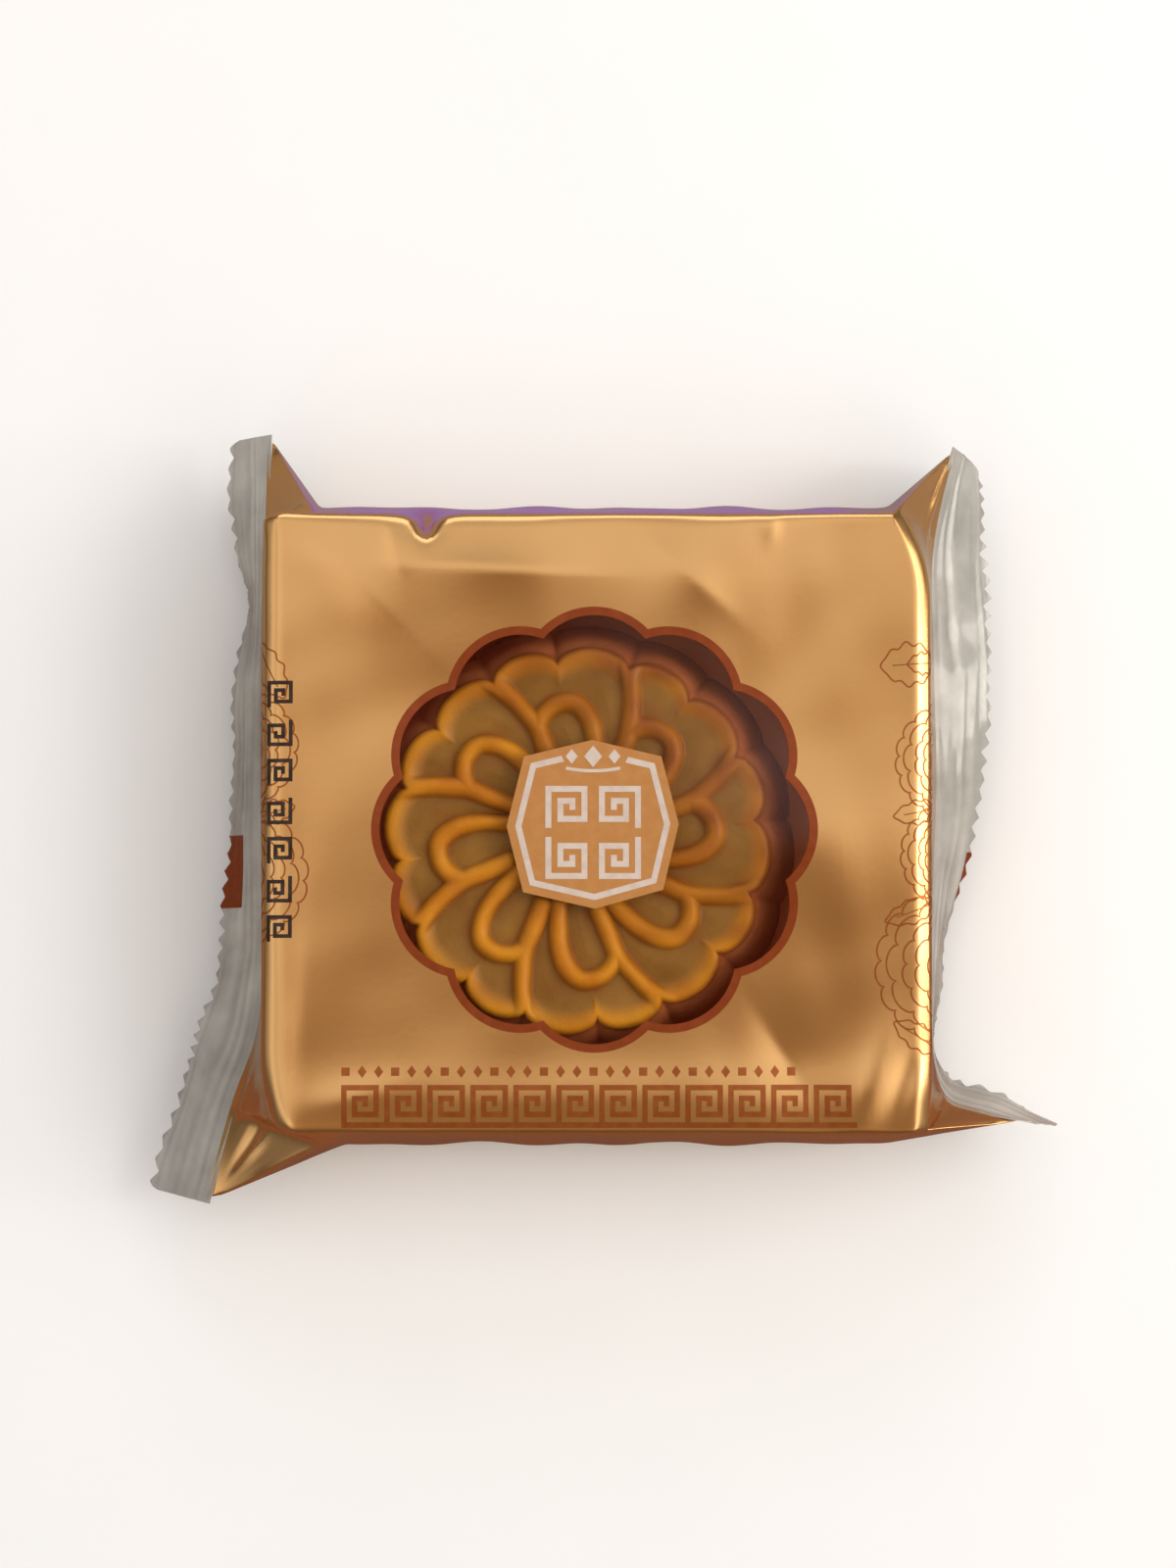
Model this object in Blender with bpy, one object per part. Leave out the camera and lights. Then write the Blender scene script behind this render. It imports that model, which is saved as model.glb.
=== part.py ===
"""A single moulded mooncake in its flow-wrapped pack, lying on its back seam.

Metres, +Z up. The pack lies on the XY plane with its printed face up. X runs from one end seal to the
other, and Y across the pack. The origin is under the middle of the pack, on the flat of its back seam.

Three solids: `wrapper`, the closed pack with its ears, crimped end seals and back seam, `mooncake`, the
fluted and petal-moulded cake in it, and `window`, the clear twelve-lobed pane over the cake.
"""

import math

import bmesh
import bpy
import numpy as np

MM = 0.001

# --- driving dimensions, millimetres ---------------------------------------------------------------
PACK_HEIGHT = 23.5            # face above the table
FACE_HALF_WIDTH = 37.7        # half of the face across the pack
SIDE_BULGE = 1.9              # how far the sides swell at half height
FACE_CROWN = 0.5              # drop of the face from its middle to its long edges
MID_HEIGHT = PACK_HEIGHT / 2
FLAT_HALF_WIDTH = 50.0        # half of the flattened film, so half of an end seal

SEAM_HALF_WIDTH = 5.0         # back seam, folded flat under the pack
SEAM_HEIGHT = 0.4

SEAL_WIDTH = 10.0             # end seal, from its root to its cut edge
SEAL_THICKNESS = 0.6
CRIMP_PITCH = 2.6             # distance between two crimp ridges
CRIMP_HEIGHT = 0.18
TOOTH_DEPTH = 0.9             # zig-zag of the cut edge

WINDOW_CENTRE = (-0.3, -0.85)
WINDOW_LOBES = 12
WINDOW_LOBE_RADIUS = 27.0     # to the crown of a lobe
WINDOW_NOTCH_RADIUS = 25.1    # to the notch between two lobes
WINDOW_THICKNESS = 0.8
GAP = 0.3                     # clearance between neighbouring solids

CAKE_CENTRE = (-2.4, -2.2)
CAKE_BASE_Z = 1.6
CAKE_CREST_Z = 22.1           # top of the moulded ridges
CAKE_RELIEF = 1.2             # ridges above the fields between them
CAKE_BASE_RADIUS = 26.2
CAKE_WAIST_RADIUS = 27.2
FLUTE_DEPTH = 0.9
PETALS = 8
PETAL_TURN = math.radians(4.5)
RIM_LOBE_RADIUS = 23.8
RIM_NOTCH_RADIUS = 21.8
RIDGE_WIDTH = 1.9

POCKET_CLEARANCE = 0.6
POCKET_FLOOR = 1.2
POCKET_ROOF = 1.1             # wall left between the pocket and the face

# --- how finely the film and the cake are divided --------------------------------------------------
FACE_STRIPS = 32
SIDE_STRIPS = 5
POINTS_PER_LOBE = 8
PETAL_COLUMNS = 16
LOBED_FROM = 0.76             # share of the top's radius at which its rings begin to follow the rim

# Root line of each end seal, from the near end of the seal (-1) to the far end (+1): place along the
# seal, then the point (x, y, z), then the direction in which the seal leaves the pack there.
LEFT_SEAL = (
    (-1.00, (-48.8, -47.0, 11.0), (-7.8, 1.4, -6.0)),
    (-0.75, (-45.3, -34.5, 12.0), (-7.3, 2.9, -6.2)),
    (-0.55, (-42.4, -26.0, 12.0), (-7.7, 1.4, -6.2)),
    (-0.35, (-41.3, -16.0, 12.0), (-6.9, 0.0, -7.2)),
    (0.00, (-41.9, 0.0, 12.0), (-5.0, 0.0, -8.7)),
    (0.35, (-42.0, 17.0, 12.0), (-4.2, 0.0, -9.1)),
    (0.55, (-41.8, 27.0, 12.0), (-3.5, 0.0, -9.4)),
    (0.75, (-41.5, 36.0, 12.0), (-4.7, 0.0, -8.8)),
    (1.00, (-41.1, 48.9, 12.5), (-6.1, 0.3, -7.9)),
)
RIGHT_SEAL = (
    (-1.00, (52.4, -36.6, 16.0), (6.0, -1.2, -7.9)),
    (-0.86, (48.0, -35.6, 13.4), (4.8, 1.2, -8.7)),
    (-0.74, (43.6, -34.0, 12.0), (2.2, 1.5, -9.6)),
    (-0.60, (41.8, -28.5, 11.8), (1.5, 0.3, -9.9)),
    (-0.40, (41.6, -19.8, 11.8), (2.4, 0.0, -9.7)),
    (-0.15, (41.9, -7.5, 11.8), (4.6, 0.0, -8.9)),
    (0.10, (42.4, 5.0, 11.8), (7.0, 0.0, -7.1)),
    (0.40, (42.2, 19.5, 11.8), (8.1, 0.0, -5.9)),
    (0.70, (42.1, 34.0, 12.0), (7.4, -0.3, -6.7)),
    (0.86, (43.4, 41.4, 12.2), (6.4, -0.6, -7.7)),
    (1.00, (45.0, 47.2, 12.5), (4.6, -1.6, -8.7)),
)

# Each end of the pack: side of X, face length to that end, where the folds of the two ears leave the long
# edges of the face (near, far), and how much the near and far corners of the face are drawn in.
LEFT_END = {"side": -1, "face": 40.8, "ears": (31.0, 34.5), "drawn": (2.3, 0.0), "seal": LEFT_SEAL}
RIGHT_END = {"side": 1, "face": 40.7, "ears": (35.6, 36.2), "drawn": (0.4, 3.2), "seal": RIGHT_SEAL}
CORNER_REACH = 12.0           # stretch of the face's end over which a corner is drawn in
END_ROUNDING = 1.6            # soft edge between the face and an end
RIDGE_END = 0.92              # how far towards the seal's tip the ear's fold is followed

# Moulded lines of one petal, as (radius, degrees from the petal's axis).
PETAL_EDGE = ((8.7, 12.0), (11.8, 14.1), (14.7, 14.9), (17.5, 18.1), (19.9, 21.0), (23.1, 25.0))
PETAL_LOOP = (
    (8.0, -20.0), (12.0, -15.2), (14.7, -10.9), (16.4, -5.9), (17.0, -1.0), (16.8, 5.2), (15.9, 10.8), (14.8, 14.4),
)
RIM_NOTCHES = (-21.5, 2.0, 23.5)   # degrees; two rim lobes to a petal

# --- colours -----------------------------------------------------------------------------------------
FILM_GOLD = (0.60, 0.34, 0.12, 1.0)
CRUST_BROWN = (0.36, 0.15, 0.035, 1.0)
CLEAR_FILM = (0.80, 0.80, 0.76, 0.35)


def clear_scene():
    for item in list(bpy.data.objects):
        bpy.data.objects.remove(item, do_unlink=True)


def collection(name):
    group = bpy.data.collections.new(name)
    bpy.context.scene.collection.children.link(group)
    return group


def material(name, colour, roughness, metallic):
    made = bpy.data.materials.new(name)
    made.use_nodes = True
    shader = made.node_tree.nodes["Principled BSDF"]
    shader.inputs["Base Color"].default_value = colour
    shader.inputs["Roughness"].default_value = roughness
    shader.inputs["Metallic"].default_value = metallic
    shader.inputs["Alpha"].default_value = colour[3]
    return made


def mesh_object(name, vertices, faces, group, location=(0.0, 0.0, 0.0)):
    """An object from points in millimetres, its faces turned outwards."""
    data = bpy.data.meshes.new(name)
    data.from_pydata([tuple(point) for point in np.asarray(vertices) * MM], [], faces)
    bm = bmesh.new()
    bm.from_mesh(data)
    bmesh.ops.recalc_face_normals(bm, faces=bm.faces)
    bm.to_mesh(data)
    bm.free()
    data.validate()
    made = bpy.data.objects.new(name, data)
    made.location = [value * MM for value in location]
    group.objects.link(made)
    return made


def hide_cutter(cutter):
    cutter.hide_render = True
    cutter.display_type = "WIRE"


def cut(target, cutter):
    modifier = target.modifiers.new(cutter.name, "BOOLEAN")
    modifier.operation = "DIFFERENCE"
    modifier.solver = "EXACT"
    modifier.object = cutter


# --- the film ----------------------------------------------------------------------------------------
def film_columns():
    """Places across the film, in millimetres from its middle line, near side first."""
    side = np.linspace(FACE_HALF_WIDTH, FLAT_HALF_WIDTH, SIDE_STRIPS + 1)[1:]
    face = np.linspace(-FACE_HALF_WIDTH, FACE_HALF_WIDTH, FACE_STRIPS + 1)
    return np.concatenate([-side[::-1], face, side])


def side_share(place):
    """0 on the face, growing to 1 at half height of the pack's side."""
    return np.clip((np.abs(place) - FACE_HALF_WIDTH) / (FLAT_HALF_WIDTH - FACE_HALF_WIDTH), 0, 1)


def smooth_table(table, place, column):
    """A smooth curve through the table's points of one column, read at each place.

    Each stretch is a cubic whose slope at a point is the mean of the slopes on its two sides.
    """
    at = np.array([row[0] for row in table])
    value = np.array([row[column] for row in table])
    steps = np.diff(value, axis=0) / np.diff(at)[:, None]
    slope = np.vstack([steps[:1], (steps[:-1] + steps[1:]) / 2, steps[-1:]])
    first = np.clip(np.searchsorted(at, place, side="right") - 1, 0, len(at) - 2)
    span = (at[first + 1] - at[first])[:, None]
    t = (place[:, None] - at[first][:, None]) / span
    return (
        (2 * t**3 - 3 * t**2 + 1) * value[first]
        + (t**3 - 2 * t**2 + t) * span * slope[first]
        + (3 * t**2 - 2 * t**3) * value[first + 1]
        + (t**3 - t**2) * span * slope[first + 1]
    )


def unit(vectors):
    return vectors / np.linalg.norm(vectors, axis=1, keepdims=True)


def body_ring(columns, x, sheet):
    """The tube's section: the flat face or back, then its swelling side. sheet is +1 above, -1 below."""
    share = side_share(columns)
    across = np.clip(columns, -FACE_HALF_WIDTH, FACE_HALF_WIDTH)
    swell = SIDE_BULGE * np.sin(share * math.pi / 2) * np.sign(columns)
    crown = FACE_CROWN * (np.abs(across) / FACE_HALF_WIDTH) ** 6
    if sheet > 0:
        flat = PACK_HEIGHT - crown
    else:
        flat = np.where(np.abs(columns) < SEAM_HALF_WIDTH, 0.0, SEAM_HEIGHT) + crown
    z = flat + share * (MID_HEIGHT + sheet * SEAL_THICKNESS / 2 - flat)
    return np.column_stack([x, across + swell, z])


def seal_root(end, columns, sheet):
    """Root line of an end seal, its outward direction, and the seal's upper or lower side."""
    along = columns / FLAT_HALF_WIDTH
    root = smooth_table(end["seal"], along, 1)
    out = unit(smooth_table(end["seal"], along, 2))
    tangent = unit(np.gradient(root, axis=0))
    normal = unit(np.cross(out, tangent)) * end["side"]
    return root, out, normal * sheet


def end_rings(end, sheet):
    """Rings of one end, from the ears' folds out to the foot of the cut edge's teeth."""
    columns = film_columns()
    share = side_share(columns)
    far = columns > 0
    ear = np.interp(columns, [-FACE_HALF_WIDTH, FACE_HALF_WIDTH], end["ears"])
    folds = body_ring(columns, end["side"] * ear, sheet)

    root, out, normal = seal_root(end, columns, sheet)
    root_side = root + normal * SEAL_THICKNESS / 2

    near_edge = np.clip((CORNER_REACH - FACE_HALF_WIDTH - columns) / CORNER_REACH, 0, 1)
    far_edge = np.clip((columns + CORNER_REACH - FACE_HALF_WIDTH) / CORNER_REACH, 0, 1)
    drawn = end["drawn"][0] * near_edge**2 + end["drawn"][1] * far_edge**2
    soft = body_ring(columns, end["side"] * (end["face"] - drawn - END_ROUNDING), sheet)
    edge = body_ring(columns, end["side"] * (end["face"] - drawn), sheet)
    edge[:, 2] -= sheet * END_ROUNDING * 0.6

    # On an ear, the film folds along a line from the face's long edge to the tip of the seal.
    tip = np.where(far[:, None], root_side[-1], root_side[0])
    corner = np.where(far[:, None], folds[SIDE_STRIPS + FACE_STRIPS], folds[SIDE_STRIPS])
    middle = np.where(far[:, None], folds[-1], folds[0])
    reach = (RIDGE_END * share)[:, None]
    blend = (share**4)[:, None]
    ridge = (1 - blend) * (corner + reach * (tip - corner)) + blend * (middle + reach * (tip - middle))
    on_ear = (share > 0)[:, None]
    halfway = folds + 0.5 * (ridge - folds)
    rings = [folds, np.where(on_ear, halfway, soft), np.where(on_ear, ridge, edge), root_side]

    crimps = np.arange(CRIMP_PITCH / 2, SEAL_WIDTH - TOOTH_DEPTH - CRIMP_PITCH / 4, CRIMP_PITCH / 2)
    for index, width in enumerate(crimps):
        lift = CRIMP_HEIGHT * (1 if index % 2 else -1)
        # Both sides of the film rise and fall together, so the seal keeps its thickness.
        rings.append(root_side + out * width + normal * sheet * lift)
    rings.append(root_side + out * (SEAL_WIDTH - TOOTH_DEPTH))
    middle_out = (out[:-1] + out[1:]) / 2
    tips = (root_side[:-1] + root_side[1:]) / 2 + middle_out * SEAL_WIDTH
    return rings, tips


def film_sheet(sheet):
    """All rings of one sheet from the left teeth to the right teeth, and the two rows of tooth tips."""
    left, left_tips = end_rings(LEFT_END, sheet)
    right, right_tips = end_rings(RIGHT_END, sheet)
    return left[::-1] + right, left_tips, right_tips


def build_wrapper(group, cutters):
    upper, upper_left, upper_right = film_sheet(1)
    lower, lower_left, lower_right = film_sheet(-1)
    width = len(film_columns())
    loop = 2 * width
    rings = [np.vstack([top, bottom[::-1]]) for top, bottom in zip(upper, lower)]
    vertices = list(np.vstack(rings))
    faces = []
    for ring in range(len(rings) - 1):
        for step in range(loop):
            here, there = ring * loop + step, ring * loop + (step + 1) % loop
            faces.append((here, there, there + loop))
            faces.append((here, there + loop, here + loop))

    def close_teeth(ring, top_tips, bottom_tips):
        start = ring * loop
        tip_start = len(vertices)
        vertices.extend(top_tips)
        vertices.extend(bottom_tips)
        count = len(top_tips)
        for tooth in range(count):
            top_a, top_b = start + tooth, start + tooth + 1
            low_a, low_b = start + loop - 1 - tooth, start + loop - 2 - tooth
            top_tip, low_tip = tip_start + tooth, tip_start + count + tooth
            faces.append((top_a, top_tip, top_b))
            faces.append((low_a, low_b, low_tip))
            faces.append((top_a, low_a, low_tip, top_tip))
            faces.append((top_b, top_tip, low_tip, low_b))

    close_teeth(0, upper_left, lower_left)
    close_teeth(len(rings) - 1, upper_right, lower_right)
    wrapper = mesh_object("wrapper", vertices, faces, group)
    wrapper.data.materials.append(material("Metallised film", FILM_GOLD, 0.30, 0.85))

    pocket_top = PACK_HEIGHT - POCKET_ROOF
    bpy.ops.mesh.primitive_cylinder_add(
        vertices=64,
        radius=(CAKE_WAIST_RADIUS + POCKET_CLEARANCE) * MM,
        depth=(pocket_top - POCKET_FLOOR) * MM,
        location=(CAKE_CENTRE[0] * MM, CAKE_CENTRE[1] * MM, (pocket_top + POCKET_FLOOR) / 2 * MM),
    )
    pocket = bpy.context.object
    pocket.name = "pocket_cutter"
    for owner in list(pocket.users_collection):
        owner.objects.unlink(pocket)
    cutters.objects.link(pocket)
    opening = outline_solid("window_cutter", rosette(0.0), pocket_top - 1.0, PACK_HEIGHT + 1.0, cutters)
    for cutter in (pocket, opening):
        hide_cutter(cutter)
        cut(wrapper, cutter)
    return wrapper


# --- the window --------------------------------------------------------------------------------------
def rosette(inset):
    """Outline of the window: twelve arcs, each bulging from notch to notch, moved in by inset."""
    half = math.pi / WINDOW_LOBES
    notch_x = WINDOW_NOTCH_RADIUS * math.cos(half)
    notch_y = WINDOW_NOTCH_RADIUS * math.sin(half)
    # A lobe's circle passes through its two notches and its crown, so its centre lies on the lobe's axis.
    rise = WINDOW_LOBE_RADIUS - notch_x
    circle = (rise**2 + notch_y**2) / (2 * rise)
    centre = WINDOW_LOBE_RADIUS - circle
    radius = circle - inset
    sweep = half + math.asin(centre * math.sin(half) / radius)
    points = []
    for lobe in range(WINDOW_LOBES):
        turn = 2 * math.pi * lobe / WINDOW_LOBES
        for step in range(POINTS_PER_LOBE):
            angle = sweep * (2 * step / POINTS_PER_LOBE - 1)
            x = centre + radius * math.cos(angle)
            y = radius * math.sin(angle)
            points.append((
                WINDOW_CENTRE[0] + x * math.cos(turn) - y * math.sin(turn),
                WINDOW_CENTRE[1] + x * math.sin(turn) + y * math.cos(turn),
            ))
    return points


def outline_solid(name, points, low, high, group):
    """A flat outline given thickness from low to high, as a closed mesh object."""
    data = bpy.data.curves.new(name, "CURVE")
    data.dimensions = "2D"
    data.fill_mode = "BOTH"
    data.extrude = (high - low) / 2 * MM
    spline = data.splines.new("POLY")
    spline.points.add(len(points) - 1)
    for point, (x, y) in zip(spline.points, points):
        point.co = (x * MM, y * MM, 0.0, 1.0)
    spline.use_cyclic_u = True
    outline = bpy.data.objects.new(name, data)
    group.objects.link(outline)
    outline.location = (0.0, 0.0, (high + low) / 2 * MM)
    bpy.context.view_layer.update()
    evaluated = outline.evaluated_get(bpy.context.evaluated_depsgraph_get())
    mesh = bpy.data.meshes.new_from_object(evaluated)
    bm = bmesh.new()
    bm.from_mesh(mesh)
    bmesh.ops.remove_doubles(bm, verts=bm.verts, dist=0.00001)
    bmesh.ops.recalc_face_normals(bm, faces=bm.faces)
    bm.to_mesh(mesh)
    bm.free()
    place = outline.matrix_world.copy()
    bpy.data.objects.remove(outline, do_unlink=True)
    solid = bpy.data.objects.new(name, mesh)
    solid.matrix_world = place
    group.objects.link(solid)
    return solid


def build_window(group):
    pane = outline_solid("window", rosette(GAP), PACK_HEIGHT - WINDOW_THICKNESS, PACK_HEIGHT, group)
    pane.data.materials.clear()
    pane.data.materials.append(material("Clear film", CLEAR_FILM, 0.15, 0.0))
    return pane


# --- the cake ----------------------------------------------------------------------------------------
def rim_radius(angle):
    """Outline of the cake's top, degrees from a petal's axis: two rounded lobes between three notches."""
    period = 360 / PETALS
    local = (angle - RIM_NOTCHES[0]) % period + RIM_NOTCHES[0]
    inner = local < RIM_NOTCHES[1]
    start = np.where(inner, RIM_NOTCHES[0], RIM_NOTCHES[1])
    stop = np.where(inner, RIM_NOTCHES[1], RIM_NOTCHES[2])
    share = (local - start) / (stop - start)
    return RIM_NOTCH_RADIUS + (RIM_LOBE_RADIUS - RIM_NOTCH_RADIUS) * np.sqrt(np.sin(math.pi * share) + 1e-9)


def distance_to_line(x, y, line):
    """Shortest distance from each point to a line of polar points (radius, degrees)."""
    best = np.full(np.shape(x), 1e9)
    at = [(r * math.cos(math.radians(a)), r * math.sin(math.radians(a))) for r, a in line]
    for (ax, ay), (bx, by) in zip(at[:-1], at[1:]):
        dx, dy = bx - ax, by - ay
        t = np.clip(((x - ax) * dx + (y - ay) * dy) / (dx * dx + dy * dy), 0, 1)
        best = np.minimum(best, np.hypot(x - ax - t * dx, y - ay - t * dy))
    return best


def relief(radius, angle):
    """Height of the moulded top over its fields: rounded ridges along the petal lines and the rim."""
    period = 360 / PETALS
    local = (angle + period / 2) % period - period / 2
    distance = np.abs(rim_radius(angle) - RIDGE_WIDTH / 2 - radius)
    for shift in (-period, 0.0, period):
        x = radius * np.cos(np.radians(local + shift))
        y = radius * np.sin(np.radians(local + shift))
        distance = np.minimum(distance, distance_to_line(x, y, PETAL_EDGE))
        distance = np.minimum(distance, distance_to_line(x, y, PETAL_LOOP))
    ridge = np.cos(np.clip(distance / RIDGE_WIDTH, 0, 1) * math.pi / 2) ** 2
    return CAKE_RELIEF * np.maximum(ridge, np.clip(1 - radius / PETAL_EDGE[0][0], 0, 1) ** 0.3)


def build_mooncake(group):
    """Rings from the middle of the top out to the rim, down the fluted side and in to the base's middle.

    The columns follow the spiral of the petals' edges, so that a ridge runs along a column.
    """
    period = 360 / PETALS
    columns = np.arange(PETALS * PETAL_COLUMNS) * period / PETAL_COLUMNS
    edge_radius = [radius for radius, degrees in PETAL_EDGE]
    edge_angle = [degrees for radius, degrees in PETAL_EDGE]
    fields_z = CAKE_CREST_Z - CAKE_RELIEF
    mean_rim = (RIM_NOTCH_RADIUS + RIM_LOBE_RADIUS) / 2

    points = [(0.0, 0.0, CAKE_CREST_Z)]
    for share in (0.12, 0.25, 0.36, 0.45, 0.53, 0.60, 0.655, 0.70, 0.74, 0.78, 0.82, 0.87, 0.92, 0.965):
        angle = columns + np.interp(share * RIM_LOBE_RADIUS, edge_radius, edge_angle)
        # Rings are round inside and take up the rim's lobes on the way out.
        lobed = min(1.0, max(0.0, (share - LOBED_FROM) / (1.0 - LOBED_FROM)))
        radius = share * (mean_rim + lobed * (rim_radius(angle) - mean_rim))
        z = fields_z + relief(radius, angle)
        turned = np.radians(angle) + PETAL_TURN
        points.extend(zip(radius * np.cos(turned), radius * np.sin(turned), z))

    angle = columns + PETAL_EDGE[-1][1]
    turned = np.radians(angle) + PETAL_TURN
    rim = rim_radius(angle)
    flute = (rim - RIM_NOTCH_RADIUS) / (RIM_LOBE_RADIUS - RIM_NOTCH_RADIUS) - 1
    height = fields_z - CAKE_BASE_Z
    waist = CAKE_WAIST_RADIUS + FLUTE_DEPTH * flute
    base = CAKE_BASE_RADIUS + FLUTE_DEPTH * flute
    for radius, z in (
        (rim, fields_z - 0.4),
        (rim * 0.45 + waist * 0.55, fields_z - 0.16 * height),
        (waist, CAKE_BASE_Z + 0.5 * height),
        (base, CAKE_BASE_Z + 0.06 * height),
        (base - 1.2, CAKE_BASE_Z),
    ):
        points.extend(zip(radius * np.cos(turned), radius * np.sin(turned), np.full(len(rim), z)))
    points.append((0.0, 0.0, CAKE_BASE_Z))

    width = len(columns)
    ring_count = (len(points) - 2) // width
    faces = []
    for step in range(width):
        after = (step + 1) % width
        faces.append((0, 1 + step, 1 + after))
        for ring in range(ring_count - 1):
            start = 1 + ring * width
            a, b, c, d = start + step, start + width + step, start + width + after, start + after
            faces.append((a, b, c))
            faces.append((a, c, d))
        last = 1 + (ring_count - 1) * width
        faces.append((last + after, last + step, len(points) - 1))
    cake = mesh_object("mooncake", points, faces, group, (CAKE_CENTRE[0], CAKE_CENTRE[1], 0.0))
    cake.data.materials.append(material("Baked crust", CRUST_BROWN, 0.45, 0.0))
    cake.data.shade_smooth()
    return cake


def main():
    clear_scene()
    parts = collection("Wrapped mooncake")
    cutters = collection("Cutters")
    build_wrapper(parts, cutters)
    build_mooncake(parts)
    build_window(parts)


main()
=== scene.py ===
"""Looks of a flow-wrapped mooncake: gold film pack, clear window, crimped clear seals and moulded cake.

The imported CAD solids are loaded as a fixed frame. Each class below builds one sub-assembly of the pack as
fine surfaces in the same frame. Lengths are millimetres until a mesh is made, which is in metres.
"""
import logging
import math
from dataclasses import dataclass, field
from enum import Enum
from typing import Any

import bmesh
import bpy
import numpy as np
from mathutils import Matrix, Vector


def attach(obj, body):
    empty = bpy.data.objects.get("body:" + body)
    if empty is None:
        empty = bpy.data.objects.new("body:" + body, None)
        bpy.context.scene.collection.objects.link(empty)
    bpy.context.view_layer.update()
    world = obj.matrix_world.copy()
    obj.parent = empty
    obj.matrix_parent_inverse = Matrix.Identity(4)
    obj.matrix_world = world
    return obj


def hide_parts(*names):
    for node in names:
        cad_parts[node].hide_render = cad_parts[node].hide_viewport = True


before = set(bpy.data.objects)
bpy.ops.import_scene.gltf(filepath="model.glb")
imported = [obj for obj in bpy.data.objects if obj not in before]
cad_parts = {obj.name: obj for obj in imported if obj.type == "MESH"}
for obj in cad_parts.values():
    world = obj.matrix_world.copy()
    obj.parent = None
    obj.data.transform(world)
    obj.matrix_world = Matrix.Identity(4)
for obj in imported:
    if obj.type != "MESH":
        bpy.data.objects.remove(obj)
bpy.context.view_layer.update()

logging.basicConfig(level=logging.INFO, format="%(message)s")
log = logging.getLogger("mooncake")

MM = 0.001
Array = np.ndarray
Knot = tuple[float, tuple[float, float, float], tuple[float, float, float]]


# --------------------------------------------------
# Numbers and curves
# --------------------------------------------------
def smoothstep(low: float, high: float, value: Array) -> Array:
    """Rise from 0 where a value is low to 1 where it is high, along 3t^2 - 2t^3."""
    t = np.clip((value - low) / (high - low), 0.0, 1.0)
    return t * t * (3.0 - 2.0 * t)


def unit(vectors: Array) -> Array:
    """Scale each vector of the last axis to length one."""
    return vectors / np.maximum(np.linalg.norm(vectors, axis=-1, keepdims=True), 1e-12)


def smooth_curve(at: Array, value: Array, place: Array) -> Array:
    """Read a smooth curve through given points.

    Each stretch is the cubic 2t^3-3t^2+1, t^3-2t^2+t, 3t^2-2t^3, t^3-t^2 on its two ends and their slopes,
    and the slope at a point is the mean of the straight slopes on its two sides.

    Args:
        at: Rising places of the points.
        value: One vector for each point.
        place: Places to read.

    Returns:
        One vector for each place.
    """
    steps = np.diff(value, axis=0) / np.diff(at)[:, None]
    slope = np.vstack([steps[:1], (steps[:-1] + steps[1:]) / 2, steps[-1:]])
    first = np.clip(np.searchsorted(at, place, side="right") - 1, 0, len(at) - 2)
    span = (at[first + 1] - at[first])[:, None]
    t = (place[:, None] - at[first][:, None]) / span
    return (
        (2 * t**3 - 3 * t**2 + 1) * value[first]
        + (t**3 - 2 * t**2 + t) * span * slope[first]
        + (3 * t**2 - 2 * t**3) * value[first + 1]
        + (t**3 - t**2) * span * slope[first + 1]
    )


def ripples(x: Array, y: Array, wavelength: float, seed: int, waves: int = 9) -> Array:
    """Uneven swell: a sum of sine waves of about one length, in many directions.

    Args:
        x: First coordinate.
        y: Second coordinate.
        wavelength: Mean distance between crests.
        seed: Fixes directions, lengths and phases.
        waves: How many waves are added.

    Returns:
        Height, mostly between -1 and 1.
    """
    draw = np.random.default_rng(seed)
    turns = draw.uniform(0, 2 * math.pi, waves)
    lengths = wavelength * draw.uniform(0.7, 1.4, waves)
    phases = draw.uniform(0, 2 * math.pi, waves)
    total = np.zeros(np.broadcast(x, y).shape)
    for turn, length, phase in zip(turns, lengths, phases):
        along = x * math.cos(turn) + y * math.sin(turn)
        total += np.sin(2 * math.pi * along / length + phase)
    return total / math.sqrt(waves)


# --------------------------------------------------
# Meshes
# --------------------------------------------------
def grid_quads(index: Array, close: bool = False) -> Array:
    """Quads of a grid of vertex numbers, facing up where rows run along X and columns along Y.

    Args:
        index: Vertex numbers, rows by columns.
        close: Whether the last column joins the first.

    Returns:
        Quads, one a row.
    """
    if close:
        index = np.hstack([index, index[:, :1]])
    return np.stack([index[:-1, :-1], index[1:, :-1], index[1:, 1:], index[:-1, 1:]], axis=-1).reshape(-1, 4)


def fan(centre: int, ring: Array) -> Array:
    """Triangles from one vertex to a closed ring, facing up where the ring runs anticlockwise."""
    return np.stack([np.full(len(ring), centre), ring, np.roll(ring, -1)], axis=-1)


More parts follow.
